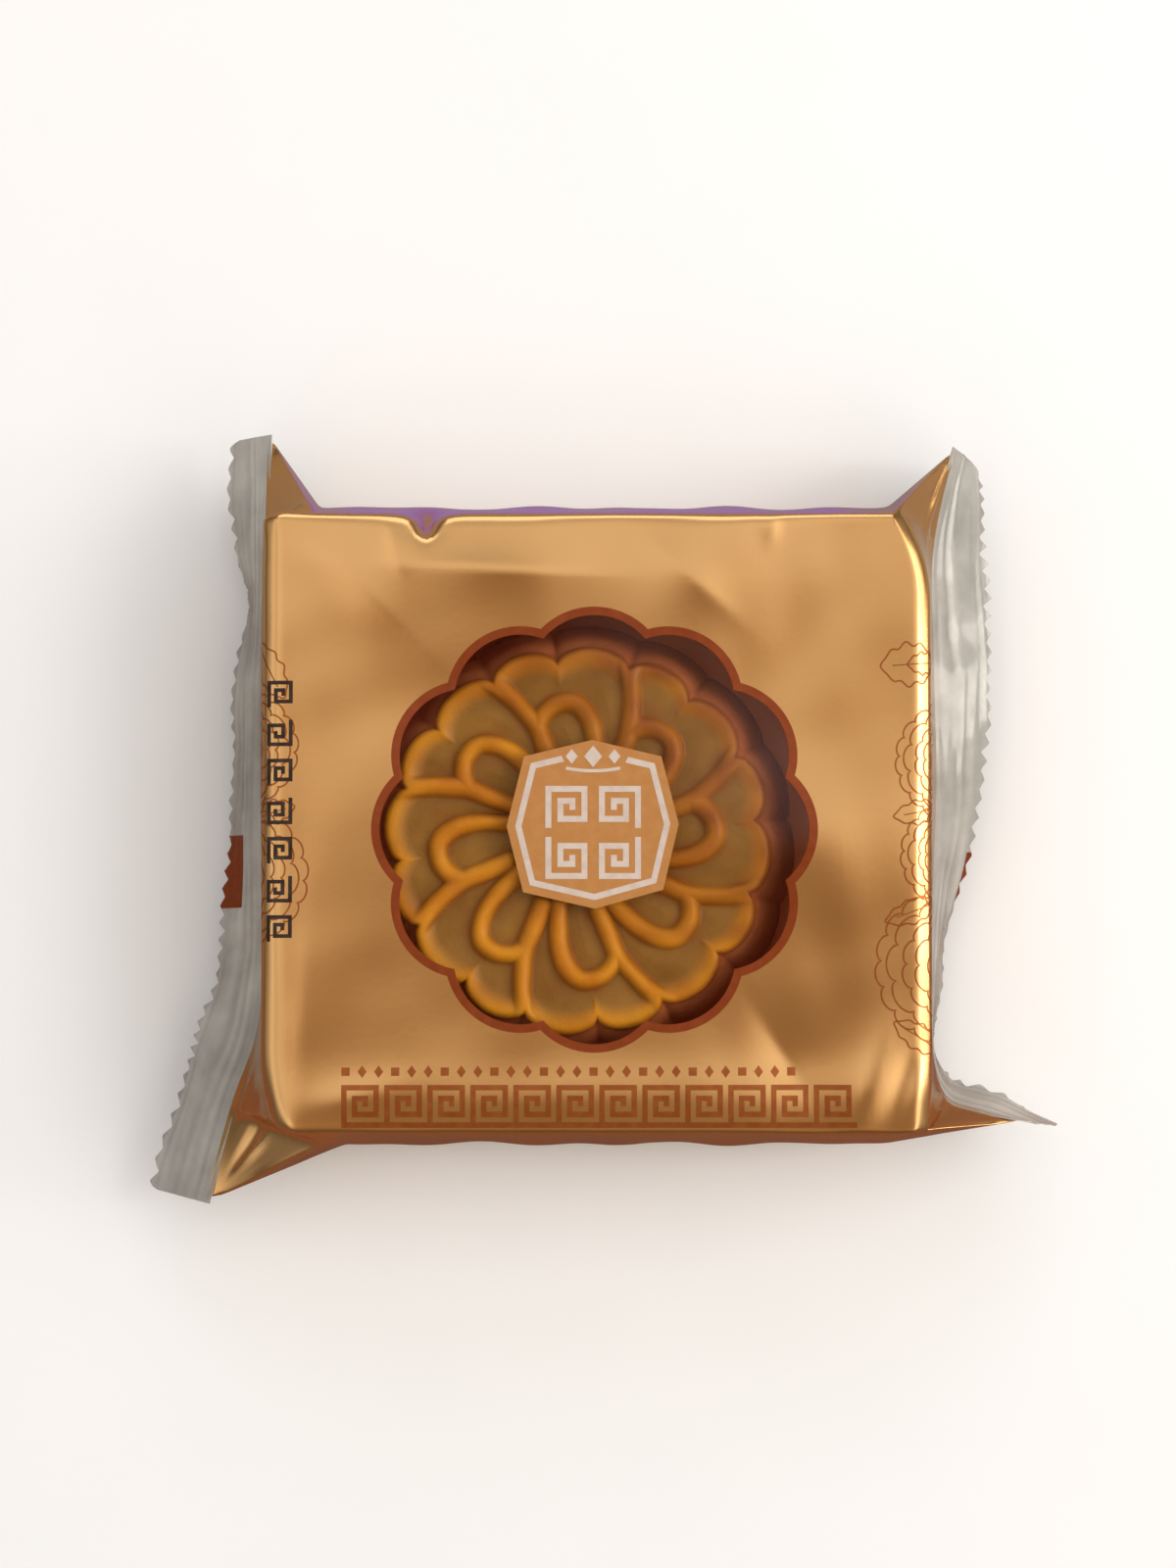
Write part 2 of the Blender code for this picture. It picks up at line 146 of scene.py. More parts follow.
def piece(
    name: str, points: Array, faces: list[Array], attributes: dict[str, Array] | None = None,
) -> bpy.types.Object:
    """Make a smooth-shaded object at the origin from points in millimetres.

    Args:
        name: Name of the object.
        points: Vertices, in any shape that ends in 3. Those that no face uses are left out.
        faces: Arrays of quads or triangles.
        attributes: Named numbers, one for each vertex.

    Returns:
        The new object.
    """
    corners = np.concatenate([block.ravel() for block in faces])
    used, corners = np.unique(corners, return_inverse=True)
    points = points.reshape(-1, 3)[used]
    sizes = np.concatenate([np.full(len(block), block.shape[1]) for block in faces])
    mesh = bpy.data.meshes.new(name)
    mesh.vertices.add(len(points))
    mesh.vertices.foreach_set("co", (points * MM).astype(np.float32).ravel())
    mesh.loops.add(len(corners))
    mesh.loops.foreach_set("vertex_index", corners.astype(np.int32).ravel())
    mesh.polygons.add(len(sizes))
    mesh.polygons.foreach_set("loop_start", (np.cumsum(sizes) - sizes).astype(np.int32))
    mesh.polygons.foreach_set("use_smooth", np.ones(len(sizes), dtype=bool))
    mesh.update(calc_edges=True)
    for key, values in (attributes or {}).items():
        layer = mesh.attributes.new(key, "FLOAT", "POINT")
        layer.data.foreach_set("value", values.ravel()[used].astype(np.float32))
    mesh.validate()
    made = bpy.data.objects.new(name, mesh)
    bpy.context.scene.collection.objects.link(made)
    return made


def merge(target: bpy.types.Object, distance: float = 0.001) -> None:
    """Join the vertices of an object that lie within a distance of each other.

    Args:
        target: The object.
        distance: The distance in millimetres.
    """
    bm = bmesh.new()
    bm.from_mesh(target.data)
    bmesh.ops.remove_doubles(bm, verts=bm.verts, dist=distance * MM)
    bm.to_mesh(target.data)
    bm.free()


def thicken(target: bpy.types.Object, thickness: float, offset: float = -1.0) -> None:
    """Give a surface a wall, with crisp rims.

    Args:
        target: The surface.
        thickness: Thickness of the wall in millimetres.
        offset: -1 for a wall on the inside, +1 for one on the outside, 0 for half on each.
    """
    mesh = target.data
    edges = np.empty(len(mesh.loops), dtype=np.int32)
    mesh.loops.foreach_get("edge_index", edges)
    open_edge = np.bincount(edges, minlength=len(mesh.edges)) == 1
    crisp = mesh.attributes.get("sharp_edge") or mesh.attributes.new("sharp_edge", "BOOLEAN", "EDGE")
    crisp.data.foreach_set("value", open_edge)
    wall = target.modifiers.new("Wall", "SOLIDIFY")
    wall.thickness = thickness * MM
    wall.offset = offset
    wall.use_rim = True


def dress(target: bpy.types.Object, finish: bpy.types.Material, node: str) -> None:
    """Give a piece its finish, and say what it is.

    Args:
        target: The piece.
        finish: Its material.
        node: CAD node that the piece stands for.
    """
    target.data.materials.clear()
    target.data.materials.append(finish)
    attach(target, "root")
    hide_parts(node)
    log.info("%s: %d faces", target.name, len(target.data.polygons))


# --------------------------------------------------
# Finishes
# --------------------------------------------------
def linear(colour: str) -> tuple[float, float, float, float]:
    """Turn an sRGB colour such as "#C68123" into the linear colour that shaders take.

    Args:
        colour: The sRGB hex colour.

    Returns:
        Linear red, green and blue, and an alpha of one.
    """
    parts = [int(colour[place:place + 2], 16) / 255 for place in (1, 3, 5)]
    straight = [part / 12.92 if part <= 0.04045 else ((part + 0.055) / 1.055) ** 2.4 for part in parts]
    return (straight[0], straight[1], straight[2], 1.0)


def add_node(
    tree: bpy.types.NodeTree, kind: str, inputs: dict[Any, Any] | None = None, **settings: Any,
) -> bpy.types.Node:
    """Add one shader node.

    Args:
        tree: Node tree that takes it.
        kind: Blender's name for the node's type.
        inputs: For each input, by name or number, a value or the socket that feeds it.
        **settings: The node's own settings.

    Returns:
        The node.
    """
    node = tree.nodes.new(kind)
    for key, value in settings.items():
        setattr(node, key, value)
    for key, value in (inputs or {}).items():
        if isinstance(value, bpy.types.NodeSocket):
            tree.links.new(value, node.inputs[key])
        else:
            node.inputs[key].default_value = value
    return node


def blank_material(name: str) -> tuple[bpy.types.Material, bpy.types.NodeTree]:
    """Make a material whose node tree is empty.

    Args:
        name: Name of the material.

    Returns:
        The material and its node tree.
    """
    made = bpy.data.materials.new(name)
    made.use_nodes = True
    made.node_tree.nodes.clear()
    return made, made.node_tree


@dataclass(frozen=True)
class MetallisedFilm:
    """Polypropylene film with a vacuum-laid aluminium layer under gold lacquer.

    The metal gives the eye a soft mirror, and the lacquer its colour and a weak, sharper gloss over it.
    """

    name: str
    light: str = "#EBB97C"
    deep: str = "#D6A05F"
    metallic: float = 0.95
    roughness: float = 0.21
    coat: float = 0.25
    cloud: float = 26.0      # mm, slow change in the depth of the lacquer
    peel: float = 0.9        # mm, orange peel of the lacquer, drawn coarser than real so that it shows

    def build(self) -> bpy.types.Material:
        """Make the material: lacquer mottled over centimetres, with peel as a slight bump.

        Returns:
            The material.
        """
        made, tree = blank_material(self.name)
        place = add_node(tree, "ShaderNodeTexCoord").outputs["Object"]
        cloud = add_node(tree, "ShaderNodeTexNoise", {
            "Vector": place, "Scale": 1000 / self.cloud, "Detail": 3.0})
        lacquer = add_node(tree, "ShaderNodeMix", {
            "Factor": cloud.outputs["Fac"], 6: linear(self.deep), 7: linear(self.light)}, data_type="RGBA")
        satin = add_node(tree, "ShaderNodeMapRange", {
            "Value": cloud.outputs["Fac"], "To Min": self.roughness - 0.05, "To Max": self.roughness + 0.05})
        peel = add_node(tree, "ShaderNodeTexNoise", {
            "Vector": place, "Scale": 1000 / self.peel, "Detail": 2.0})
        bump = add_node(tree, "ShaderNodeBump", {
            "Height": peel.outputs["Fac"], "Strength": 0.06, "Distance": 0.0001})
        shader = add_node(tree, "ShaderNodeBsdfPrincipled", {
            "Base Color": lacquer.outputs[2], "Metallic": self.metallic,
            "Roughness": satin.outputs["Result"], "Coat Weight": self.coat, "Coat Roughness": 0.12,
            "Normal": bump.outputs["Normal"]})
        add_node(tree, "ShaderNodeOutputMaterial", {"Surface": shader.outputs[0]})
        return made


@dataclass(frozen=True)
class CrimpedFilm:
    """Unprinted polypropylene film, heat-crimped double in the end seals.

    It is glossy and see-through, and its many small crimped faces turn it milky grey.
    """

    name: str = "Crimped clear polypropylene film"
    light: str = "#DAD8D1"
    dark: str = "#87837B"
    opacity: tuple[float, float] = (0.62, 0.9)
    roughness: float = 0.2
    streak: float = 0.6      # share of the pattern from the piece's crimp attribute, which holds painted highlight
    cloud: float = 7.0       # mm, uneven melting

    def build(self) -> bpy.types.Material:
        """Make the material: film mixed with clear gaps, following cloudy melting and the crimp attribute,
        which carries painted highlight on the crests and at one end.

        Returns:
            The material.
        """
        made, tree = blank_material(self.name)
        place = add_node(tree, "ShaderNodeTexCoord").outputs["Object"]
        cloud = add_node(tree, "ShaderNodeTexNoise", {
            "Vector": place, "Scale": 1000 / self.cloud, "Detail": 4.0})
        melt = add_node(tree, "ShaderNodeMapRange", {
            "Value": cloud.outputs["Fac"], "From Min": 0.3, "From Max": 0.7})
        # The crimp attribute pales the crests, partly as painted highlight, and one end as painted
        # highlight.
        crimp = add_node(tree, "ShaderNodeAttribute", attribute_name="crimp")
        pattern = add_node(tree, "ShaderNodeMix", {
            "Factor": self.streak, 2: melt.outputs["Result"], 3: crimp.outputs["Fac"],
        }, data_type="FLOAT").outputs[0]
        film = add_node(tree, "ShaderNodeMix", {
            "Factor": pattern, 6: linear(self.dark), 7: linear(self.light)}, data_type="RGBA")
        cover = add_node(tree, "ShaderNodeMapRange", {
            "Value": pattern, "To Min": self.opacity[0], "To Max": self.opacity[1]})
        shader = add_node(tree, "ShaderNodeBsdfPrincipled", {
            "Base Color": film.outputs[2], "Roughness": self.roughness, "IOR": 1.49,
            "Coat Weight": 0.5, "Coat Roughness": 0.08})
        gap = add_node(tree, "ShaderNodeBsdfTransparent")
        mixed = add_node(tree, "ShaderNodeMixShader", {
            0: cover.outputs["Result"], 1: gap.outputs[0], 2: shader.outputs[0]})
        add_node(tree, "ShaderNodeOutputMaterial", {"Surface": mixed.outputs[0]})
        return made


@dataclass(frozen=True)
class PaneFilm:
    """Clear polypropylene film stretched flat: almost invisible, with a weak gloss and a trace of haze.

    Two faces of plastic mirror a few hundredths of the light, so the finish is a mirror mixed thinly over a
    clear gap. A painted reflection makes the mirror stronger in patches and towards its far right side.
    """

    name: str = "Clear polypropylene pane"
    mirror: tuple[float, float] = (0.003, 0.045)
    roughness: float = 0.14
    haze: float = 24.0       # mm, patches of the painted reflection
    painted_reflection_span: tuple[float, float] = (0.0, 36.0)   # mm along the diagonal, from no painted reflection to its full strength
    diagonal: tuple[float, float, float] = (0.75, 0.66, 0.0)   # from the middle to the far right
    sheen: str = "#F2EEE8"

    def build(self) -> bpy.types.Material:
        """Make the material.

        Returns:
            The material.
        """
        made, tree = blank_material(self.name)
        place = add_node(tree, "ShaderNodeTexCoord").outputs["Object"]
        cloud = add_node(tree, "ShaderNodeTexNoise", {
            "Vector": place, "Scale": 1000 / self.haze, "Detail": 3.0})
        # Painted reflection: the mirror's share grows along the diagonal to the far right, in cloudy
        # patches.
        diagonal = add_node(tree, "ShaderNodeVectorMath", {
            0: place, 1: self.diagonal}, operation="DOT_PRODUCT")
        side = add_node(tree, "ShaderNodeMapRange", {
            "Value": diagonal.outputs["Value"],
            "From Min": self.painted_reflection_span[0] * MM, "From Max": self.painted_reflection_span[1] * MM,
        }, interpolation_type="SMOOTHSTEP")
        patchy = add_node(tree, "ShaderNodeMapRange", {
            "Value": cloud.outputs["Fac"], "From Min": 0.3, "From Max": 0.7, "To Min": 0.4, "To Max": 1.0})
        both = add_node(tree, "ShaderNodeMath", {
            0: side.outputs["Result"], 1: patchy.outputs["Result"]}, operation="MULTIPLY")
        cover = add_node(tree, "ShaderNodeMapRange", {
            "Value": both.outputs[0], "To Min": self.mirror[0], "To Max": self.mirror[1]})
        shader = add_node(tree, "ShaderNodeBsdfPrincipled", {
            "Base Color": linear(self.sheen), "Metallic": 1.0, "Roughness": self.roughness})
        gap = add_node(tree, "ShaderNodeBsdfTransparent")
        mixed = add_node(tree, "ShaderNodeMixShader", {
            0: cover.outputs["Result"], 1: gap.outputs[0], 2: shader.outputs[0]})
        add_node(tree, "ShaderNodeOutputMaterial", {"Surface": mixed.outputs[0]})
        return made


@dataclass(frozen=True)
class GravureInk:
    """Gravure ink, a thin even coat that mottles a little.

    Over the metal layer it is see-through, so that it shines like the film, only darker. Over clear film, or
    where it is black or white, it is opaque and nearly matt.
    """

    name: str
    full: str
    thin: str
    metallic: float = 0.9
    roughness: float = 0.3
    gloss: float = 0.5
    mottle: float = 1.3      # mm, uneven ink, drawn far coarser than its printing cells so that it shows

    def build(self) -> bpy.types.Material:
        """Make the material.

        Returns:
            The material.
        """
        made, tree = blank_material(self.name)
        place = add_node(tree, "ShaderNodeTexCoord").outputs["Object"]
        patch = add_node(tree, "ShaderNodeTexNoise", {
            "Vector": place, "Scale": 1000 / self.mottle, "Detail": 4.0})
        wear = add_node(tree, "ShaderNodeMapRange", {
            "Value": patch.outputs["Fac"], "From Min": 0.4, "From Max": 0.75})
        ink = add_node(tree, "ShaderNodeMix", {
            "Factor": wear.outputs["Result"], 6: linear(self.full), 7: linear(self.thin)}, data_type="RGBA")
        shader = add_node(tree, "ShaderNodeBsdfPrincipled", {
            "Base Color": ink.outputs[2], "Metallic": self.metallic, "Roughness": self.roughness,
            "Specular IOR Level": self.gloss})
        add_node(tree, "ShaderNodeOutputMaterial", {"Surface": shader.outputs[0]})
        return made


@dataclass(frozen=True)
class BakedCrust:
    """Moulded wheat crust, brushed with egg and baked.

    The egg browns gold on the moulded ridges, the fields between them stay olive brown and matt, and the
    flank is red brown. The mesh says where: `ridge`, `side`, and `brown`, which is painted shade along the
    ridges' feet, and partly deeper baking and partly painted shade on the far side.
    """

    name: str = "Egg-glazed baked wheat crust"
    fields: tuple[str, str] = ("#764C16", "#906427")
    ridges: tuple[str, str] = ("#B66A0C", "#CD8718")
    flank: tuple[str, str] = ("#9A4F2A", "#B5683C")
    baked_and_shaded: str = "#7C3A0A"
    patch: float = 7.0       # mm, uneven baking
    crumb: float = 0.5       # mm, grain of the dough

    def build(self) -> bpy.types.Material:
        """Make the material: three mottled colours placed by the mesh, darkened by baking and by painted
        shade.

        Returns:
            The material.
        """
        made, tree = blank_material(self.name)
        place = add_node(tree, "ShaderNodeTexCoord").outputs["Object"]
        ridge = add_node(tree, "ShaderNodeAttribute", attribute_name="ridge")
        side = add_node(tree, "ShaderNodeAttribute", attribute_name="side")
        brown = add_node(tree, "ShaderNodeAttribute", attribute_name="brown")
        baking = add_node(tree, "ShaderNodeTexNoise", {
            "Vector": place, "Scale": 1000 / self.patch, "Detail": 5.0})
        uneven = add_node(tree, "ShaderNodeMapRange", {
            "Value": baking.outputs["Fac"], "From Min": 0.3, "From Max": 0.7})
        crumb = add_node(tree, "ShaderNodeTexNoise", {
            "Vector": place, "Scale": 1000 / self.crumb, "Detail": 3.0})
        fields, ridges, flank = [
            add_node(tree, "ShaderNodeMix", {
                "Factor": uneven.outputs["Result"], 6: linear(pair[0]), 7: linear(pair[1]),
            }, data_type="RGBA")
            for pair in (self.fields, self.ridges, self.flank)
        ]
        top = add_node(tree, "ShaderNodeMix", {
            "Factor": ridge.outputs["Fac"], 6: fields.outputs[2], 7: ridges.outputs[2]}, data_type="RGBA")
        # The `brown` attribute darkens by baking and by painted shade at the ridges' feet and far side.
        baked = add_node(tree, "ShaderNodeMix", {
            "Factor": brown.outputs["Fac"], 6: top.outputs[2], 7: linear(self.baked_and_shaded)}, data_type="RGBA")
        crust = add_node(tree, "ShaderNodeMix", {
            "Factor": side.outputs["Fac"], 6: baked.outputs[2], 7: flank.outputs[2]}, data_type="RGBA")
        glaze = add_node(tree, "ShaderNodeMapRange", {
            "Value": crumb.outputs["Fac"], "From Min": 0.3, "From Max": 0.7, "To Min": 0.36, "To Max": 0.55})
        bump = add_node(tree, "ShaderNodeBump", {
            "Height": crumb.outputs["Fac"], "Strength": 0.35, "Distance": 0.0002})
        shader = add_node(tree, "ShaderNodeBsdfPrincipled", {
            "Base Color": crust.outputs[2], "Roughness": glaze.outputs["Result"], "IOR": 1.45,
            "Specular IOR Level": 0.15, "Coat Weight": 0.08, "Coat Roughness": 0.15,
            "Normal": bump.outputs["Normal"]})
        add_node(tree, "ShaderNodeOutputMaterial", {"Surface": shader.outputs[0]})
        return made


# --------------------------------------------------
# The gold film
# --------------------------------------------------
class Sheet(Enum):
    """The two sheets of the flattened film, by the side of Z on which they lie."""

    UPPER = 1
    LOWER = -1


@dataclass(frozen=True)
class EndForm:
    """Shape of one end: its seal, its ears and the corners of the face there.

    A knot of the seal has its place from the near end (-1) to the far end (1), the root's point, and the
    direction in which the seal leaves the pack. Pairs are near and far.
    """

    name: str
    side: int                          # of X
    seal: tuple[Knot, ...]
    face: float                        # from the pack's middle to the end of the face
    ears: tuple[float, float]          # where the ears' folds leave the long edges of the face
    drawn: tuple[float, float]         # how far the face's corners are drawn in
    tip_radius: tuple[float, float]    # rounding of the seal's outer corners


LEFT_FORM = EndForm(
    name="left",
    side=-1,
    seal=(
        (-1.00, (-48.8, -47.0, 11.0), (-7.8, 1.4, -6.0)),
        (-0.75, (-45.3, -34.5, 12.0), (-7.3, 2.9, -6.2)),
        (-0.55, (-42.4, -26.0, 12.0), (-7.7, 1.4, -6.2)),
        (-0.35, (-41.3, -16.0, 12.0), (-6.9, 0.0, -7.2)),
        (0.00, (-41.9, 0.0, 12.0), (-5.0, 0.0, -8.7)),
        (0.35, (-42.0, 17.0, 12.0), (-4.2, 0.0, -9.1)),
        (0.55, (-41.8, 27.0, 12.0), (-3.5, 0.0, -9.4)),
        (0.75, (-41.5, 36.0, 12.0), (-4.7, 0.0, -8.8)),
        (1.00, (-41.1, 48.9, 12.5), (-6.1, 0.3, -7.9)),
    ),
    face=40.8,
    ears=(31.0, 34.5),
    drawn=(2.3, 0.0),
    tip_radius=(0.6, 1.8),
)
RIGHT_FORM = EndForm(
    name="right",
    side=1,
    seal=(
        (-1.00, (52.4, -36.6, 16.0), (6.0, -1.2, -7.9)),
        (-0.86, (48.0, -35.6, 13.4), (4.8, 1.2, -8.7)),
        (-0.74, (43.6, -34.0, 12.0), (2.2, 1.5, -9.6)),
        (-0.60, (41.8, -28.5, 11.8), (1.5, 0.3, -9.9)),
        (-0.40, (41.6, -19.8, 11.8), (2.4, 0.0, -9.7)),
        (-0.15, (41.9, -7.5, 11.8), (4.6, 0.0, -8.9)),
        (0.10, (42.4, 5.0, 11.8), (7.0, 0.0, -7.1)),
        (0.40, (42.2, 19.5, 11.8), (8.1, 0.0, -5.9)),
        (0.70, (42.1, 34.0, 12.0), (7.4, -0.3, -6.7)),
        (0.86, (43.4, 41.4, 12.2), (6.4, -0.6, -7.7)),
        (1.00, (45.0, 47.2, 12.5), (4.6, -1.6, -8.7)),
    ),
    face=40.7,
    ears=(35.6, 36.2),
    drawn=(0.4, 3.2),
    tip_radius=(1.0, 4.0),
)


def seal_lines(form: EndForm, place: Array) -> tuple[Array, Array, Array]:
    """Read one end seal along its root.

    Args:
        form: The end.
        place: Places along the seal, -1 at its near end and 1 at its far end.

    Returns:
        The root's points, the directions in which the seal leaves the pack, and its upward normals.
    """
    at = np.array([knot[0] for knot in form.seal])
    roots = np.array([knot[1] for knot in form.seal])
    outs = np.array([knot[2] for knot in form.seal])
    root = smooth_curve(at, roots, place)
    out = unit(smooth_curve(at, outs, place))
    tangent = smooth_curve(at, roots, place + 0.004) - smooth_curve(at, roots, place - 0.004)
    return root, out, unit(np.cross(out, tangent)) * form.side


@dataclass(frozen=True)
class Dent:
    """One soft hollow or swelling of the face, a bell over an ellipse.

    Its height is depth exp(-(a/length)^2 - (b/width)^2), where a and b run along and across the ellipse.
    """

    x: float
    y: float
    length: float
    width: float
    turn: float      # degrees from X to the ellipse's length
    depth: float     # a hollow is negative

    def height(self, x: Array, y: Array) -> Array:
        """Height at each point.

        Args:
            x: Along the pack.
            y: Across the pack.

        Returns:
            The heights.
        """
        turn = math.radians(self.turn)
        along = (x - self.x) * math.cos(turn) + (y - self.y) * math.sin(turn)
        across = (y - self.y) * math.cos(turn) - (x - self.x) * math.sin(turn)
        return self.depth * np.exp(-((along / self.length) ** 2) - (across / self.width) ** 2)


@dataclass(frozen=True)
class Pleat:
    """One creased fold of the face: a crisp line from which the film falls away on both sides.

    Its height is depth exp(-b/width) exp(-(a/length)^2), where a runs along the line and b is the distance
    from it, softened within a third of a millimetre. The two sides have widths of their own.
    """

    x: float
    y: float
    length: float
    left: float      # width on the left of the line's direction
    right: float
    turn: float      # degrees from X to the line
    depth: float     # a valley is negative
    softness: float = 0.33

    def height(self, x: Array, y: Array) -> Array:
        """Height at each point.

        Args:
            x: Along the pack.
            y: Across the pack.

        Returns:
            The heights.
        """
        turn = math.radians(self.turn)
        along = (x - self.x) * math.cos(turn) + (y - self.y) * math.sin(turn)
        across = (y - self.y) * math.cos(turn) - (x - self.x) * math.sin(turn)
        width = self.right + (self.left - self.right) * smoothstep(-0.5, 0.5, across)
        away = np.hypot(across, self.softness) - self.softness
        return self.depth * np.exp(-away / width - (along / self.length) ** 2)


# Folds, hollows and swellings of the face.
FACE_DENTS = (
    Pleat(-12.5, 30.8, 12.0, 5.0, 8.0, -3, 1.35),
    Pleat(-28.0, 28.0, 10.0, 8.0, 3.5, -44, 0.50),
    Pleat(-24.4, 33.5, 3.5, 1.6, 1.2, -75, 0.28),
    Pleat(11.5, 29.7, 7.0, 9.0, 6.0, -41, 0.95),
    Pleat(-35.4, -23.0, 12.0, 3.2, 9.0, 86.8, 0.36),
    Pleat(24.0, -30.0, 8.0, 7.0, 4.0, -57, -0.75),
    Pleat(33.5, -30.5, 6.0, 2.0, 3.0, 74, 0.45),
    Dent(27.0, -3.0, 9.0, 12.0, 90, 1.00),
    Dent(-28.0, -1.0, 11.0, 9.0, 86, 0.50),
    Dent(-2.0, -34.0, 60.0, 4.0, 1, 0.45),
    Dent(37.2, -31.5, 5.0, 1.7, 68, -0.35),
    Dent(-30.0, -34.0, 7.0, 2.4, 15, 0.35),
    Dent(24.0, 22.0, 16.0, 6.0, 50, -0.35),
    Dent(21.2, 36.6, 1.0, 2.2, 0, 0.20),
)


@dataclass(frozen=True)
class Window:
    """The twelve-lobed opening over the cake, its clear pane, and the printed border round it."""

    centre: tuple[float, float] = (-0.3, -0.85)
    lobes: int = 12
    crown_radius: float = 27.0
    notch_radius: float = 25.1
    border: float = 0.95
    border_lap: float = 0.08           # the border laps this far over the film
    border_lift: float = 0.03
    border_foot: float = 0.05          # it is this much thicker than the film, and hides its cut edge
    overlap: float = 0.6               # the pane runs this far under the film
    pane_gap: float = 0.02             # between the film and the pane under it
    pane_wall: float = 0.05
    rings: int = 46
    steps: int = 32                    # along one lobe

    def outline(self, inset: float) -> Array:
        """Outline of the opening: on each lobe an arc through two notches and the crown, moved in by inset.

        Args:
            inset: Distance inside the opening's edge.

        Returns:
            Points in the plane, anticlockwise from the crown on the +X side.
        """
        half = math.pi / self.lobes
        notch_x = self.notch_radius * math.cos(half)
        notch_y = self.notch_radius * math.sin(half)
        rise = self.crown_radius - notch_x
        circle = (rise**2 + notch_y**2) / (2 * rise)
        middle = self.crown_radius - circle
        radius = circle - inset
        sweep = half + math.asin(middle * math.sin(half) / radius)
        angle = sweep * (2 * np.arange(self.steps) / self.steps - 1)
        x = middle + radius * np.cos(angle)
        y = radius * np.sin(angle)
        turn = 2 * math.pi * np.arange(self.lobes)[:, None] / self.lobes
        ring = np.stack([x * np.cos(turn) - y * np.sin(turn), x * np.sin(turn) + y * np.cos(turn)], axis=-1)
        return np.roll(ring.reshape(-1, 2), -self.steps // 2, axis=0) + self.centre

    def build_pane(self, film: "Film", finish: bpy.types.Material) -> None:
        """Make the pane: rings that share out the way from the middle to just outside the opening's edge.

        Args:
            film: Film that the pane is under.
            finish: The piece's material.
        """
        edge = self.outline(-self.overlap)
        share = ((1 + np.arange(self.rings)) / self.rings)[:, None, None]
        flat = np.concatenate([[self.centre], (self.centre + share * (edge - self.centre)).reshape(-1, 2)])
        x, y = flat[:, 0], flat[:, 1]
        points = film.cover(x, y, -film.wall - self.pane_gap)
        rings = 1 + np.arange(self.rings * len(edge)).reshape(self.rings, len(edge))
        made = piece("window_pane", points, [fan(0, rings[0]), grid_quads(rings, close=True)])
        thicken(made, self.pane_wall)
        dress(made, finish, "window")

    def build_border(self, film: "Film", finish: bpy.types.Material) -> None:
        """Make the printed border: a flat ring from just outside the opening's edge to that edge moved in.

        Args:
            film: Film that the border is printed on.
            finish: The piece's material.
        """
        share = np.linspace(0, 1, 5)[:, None, None]
        inner, outer = self.outline(self.border), self.outline(-self.border_lap)
        flat = inner + share * (outer - inner)
        points = film.cover(flat[..., 0], flat[..., 1], self.border_lift)
        index = np.arange(points.size // 3).reshape(points.shape[:2])
        made = piece("window_border", points, [grid_quads(index, close=True)])
        thicken(made, film.wall + self.border_foot)
        dress(made, finish, "wrapper")


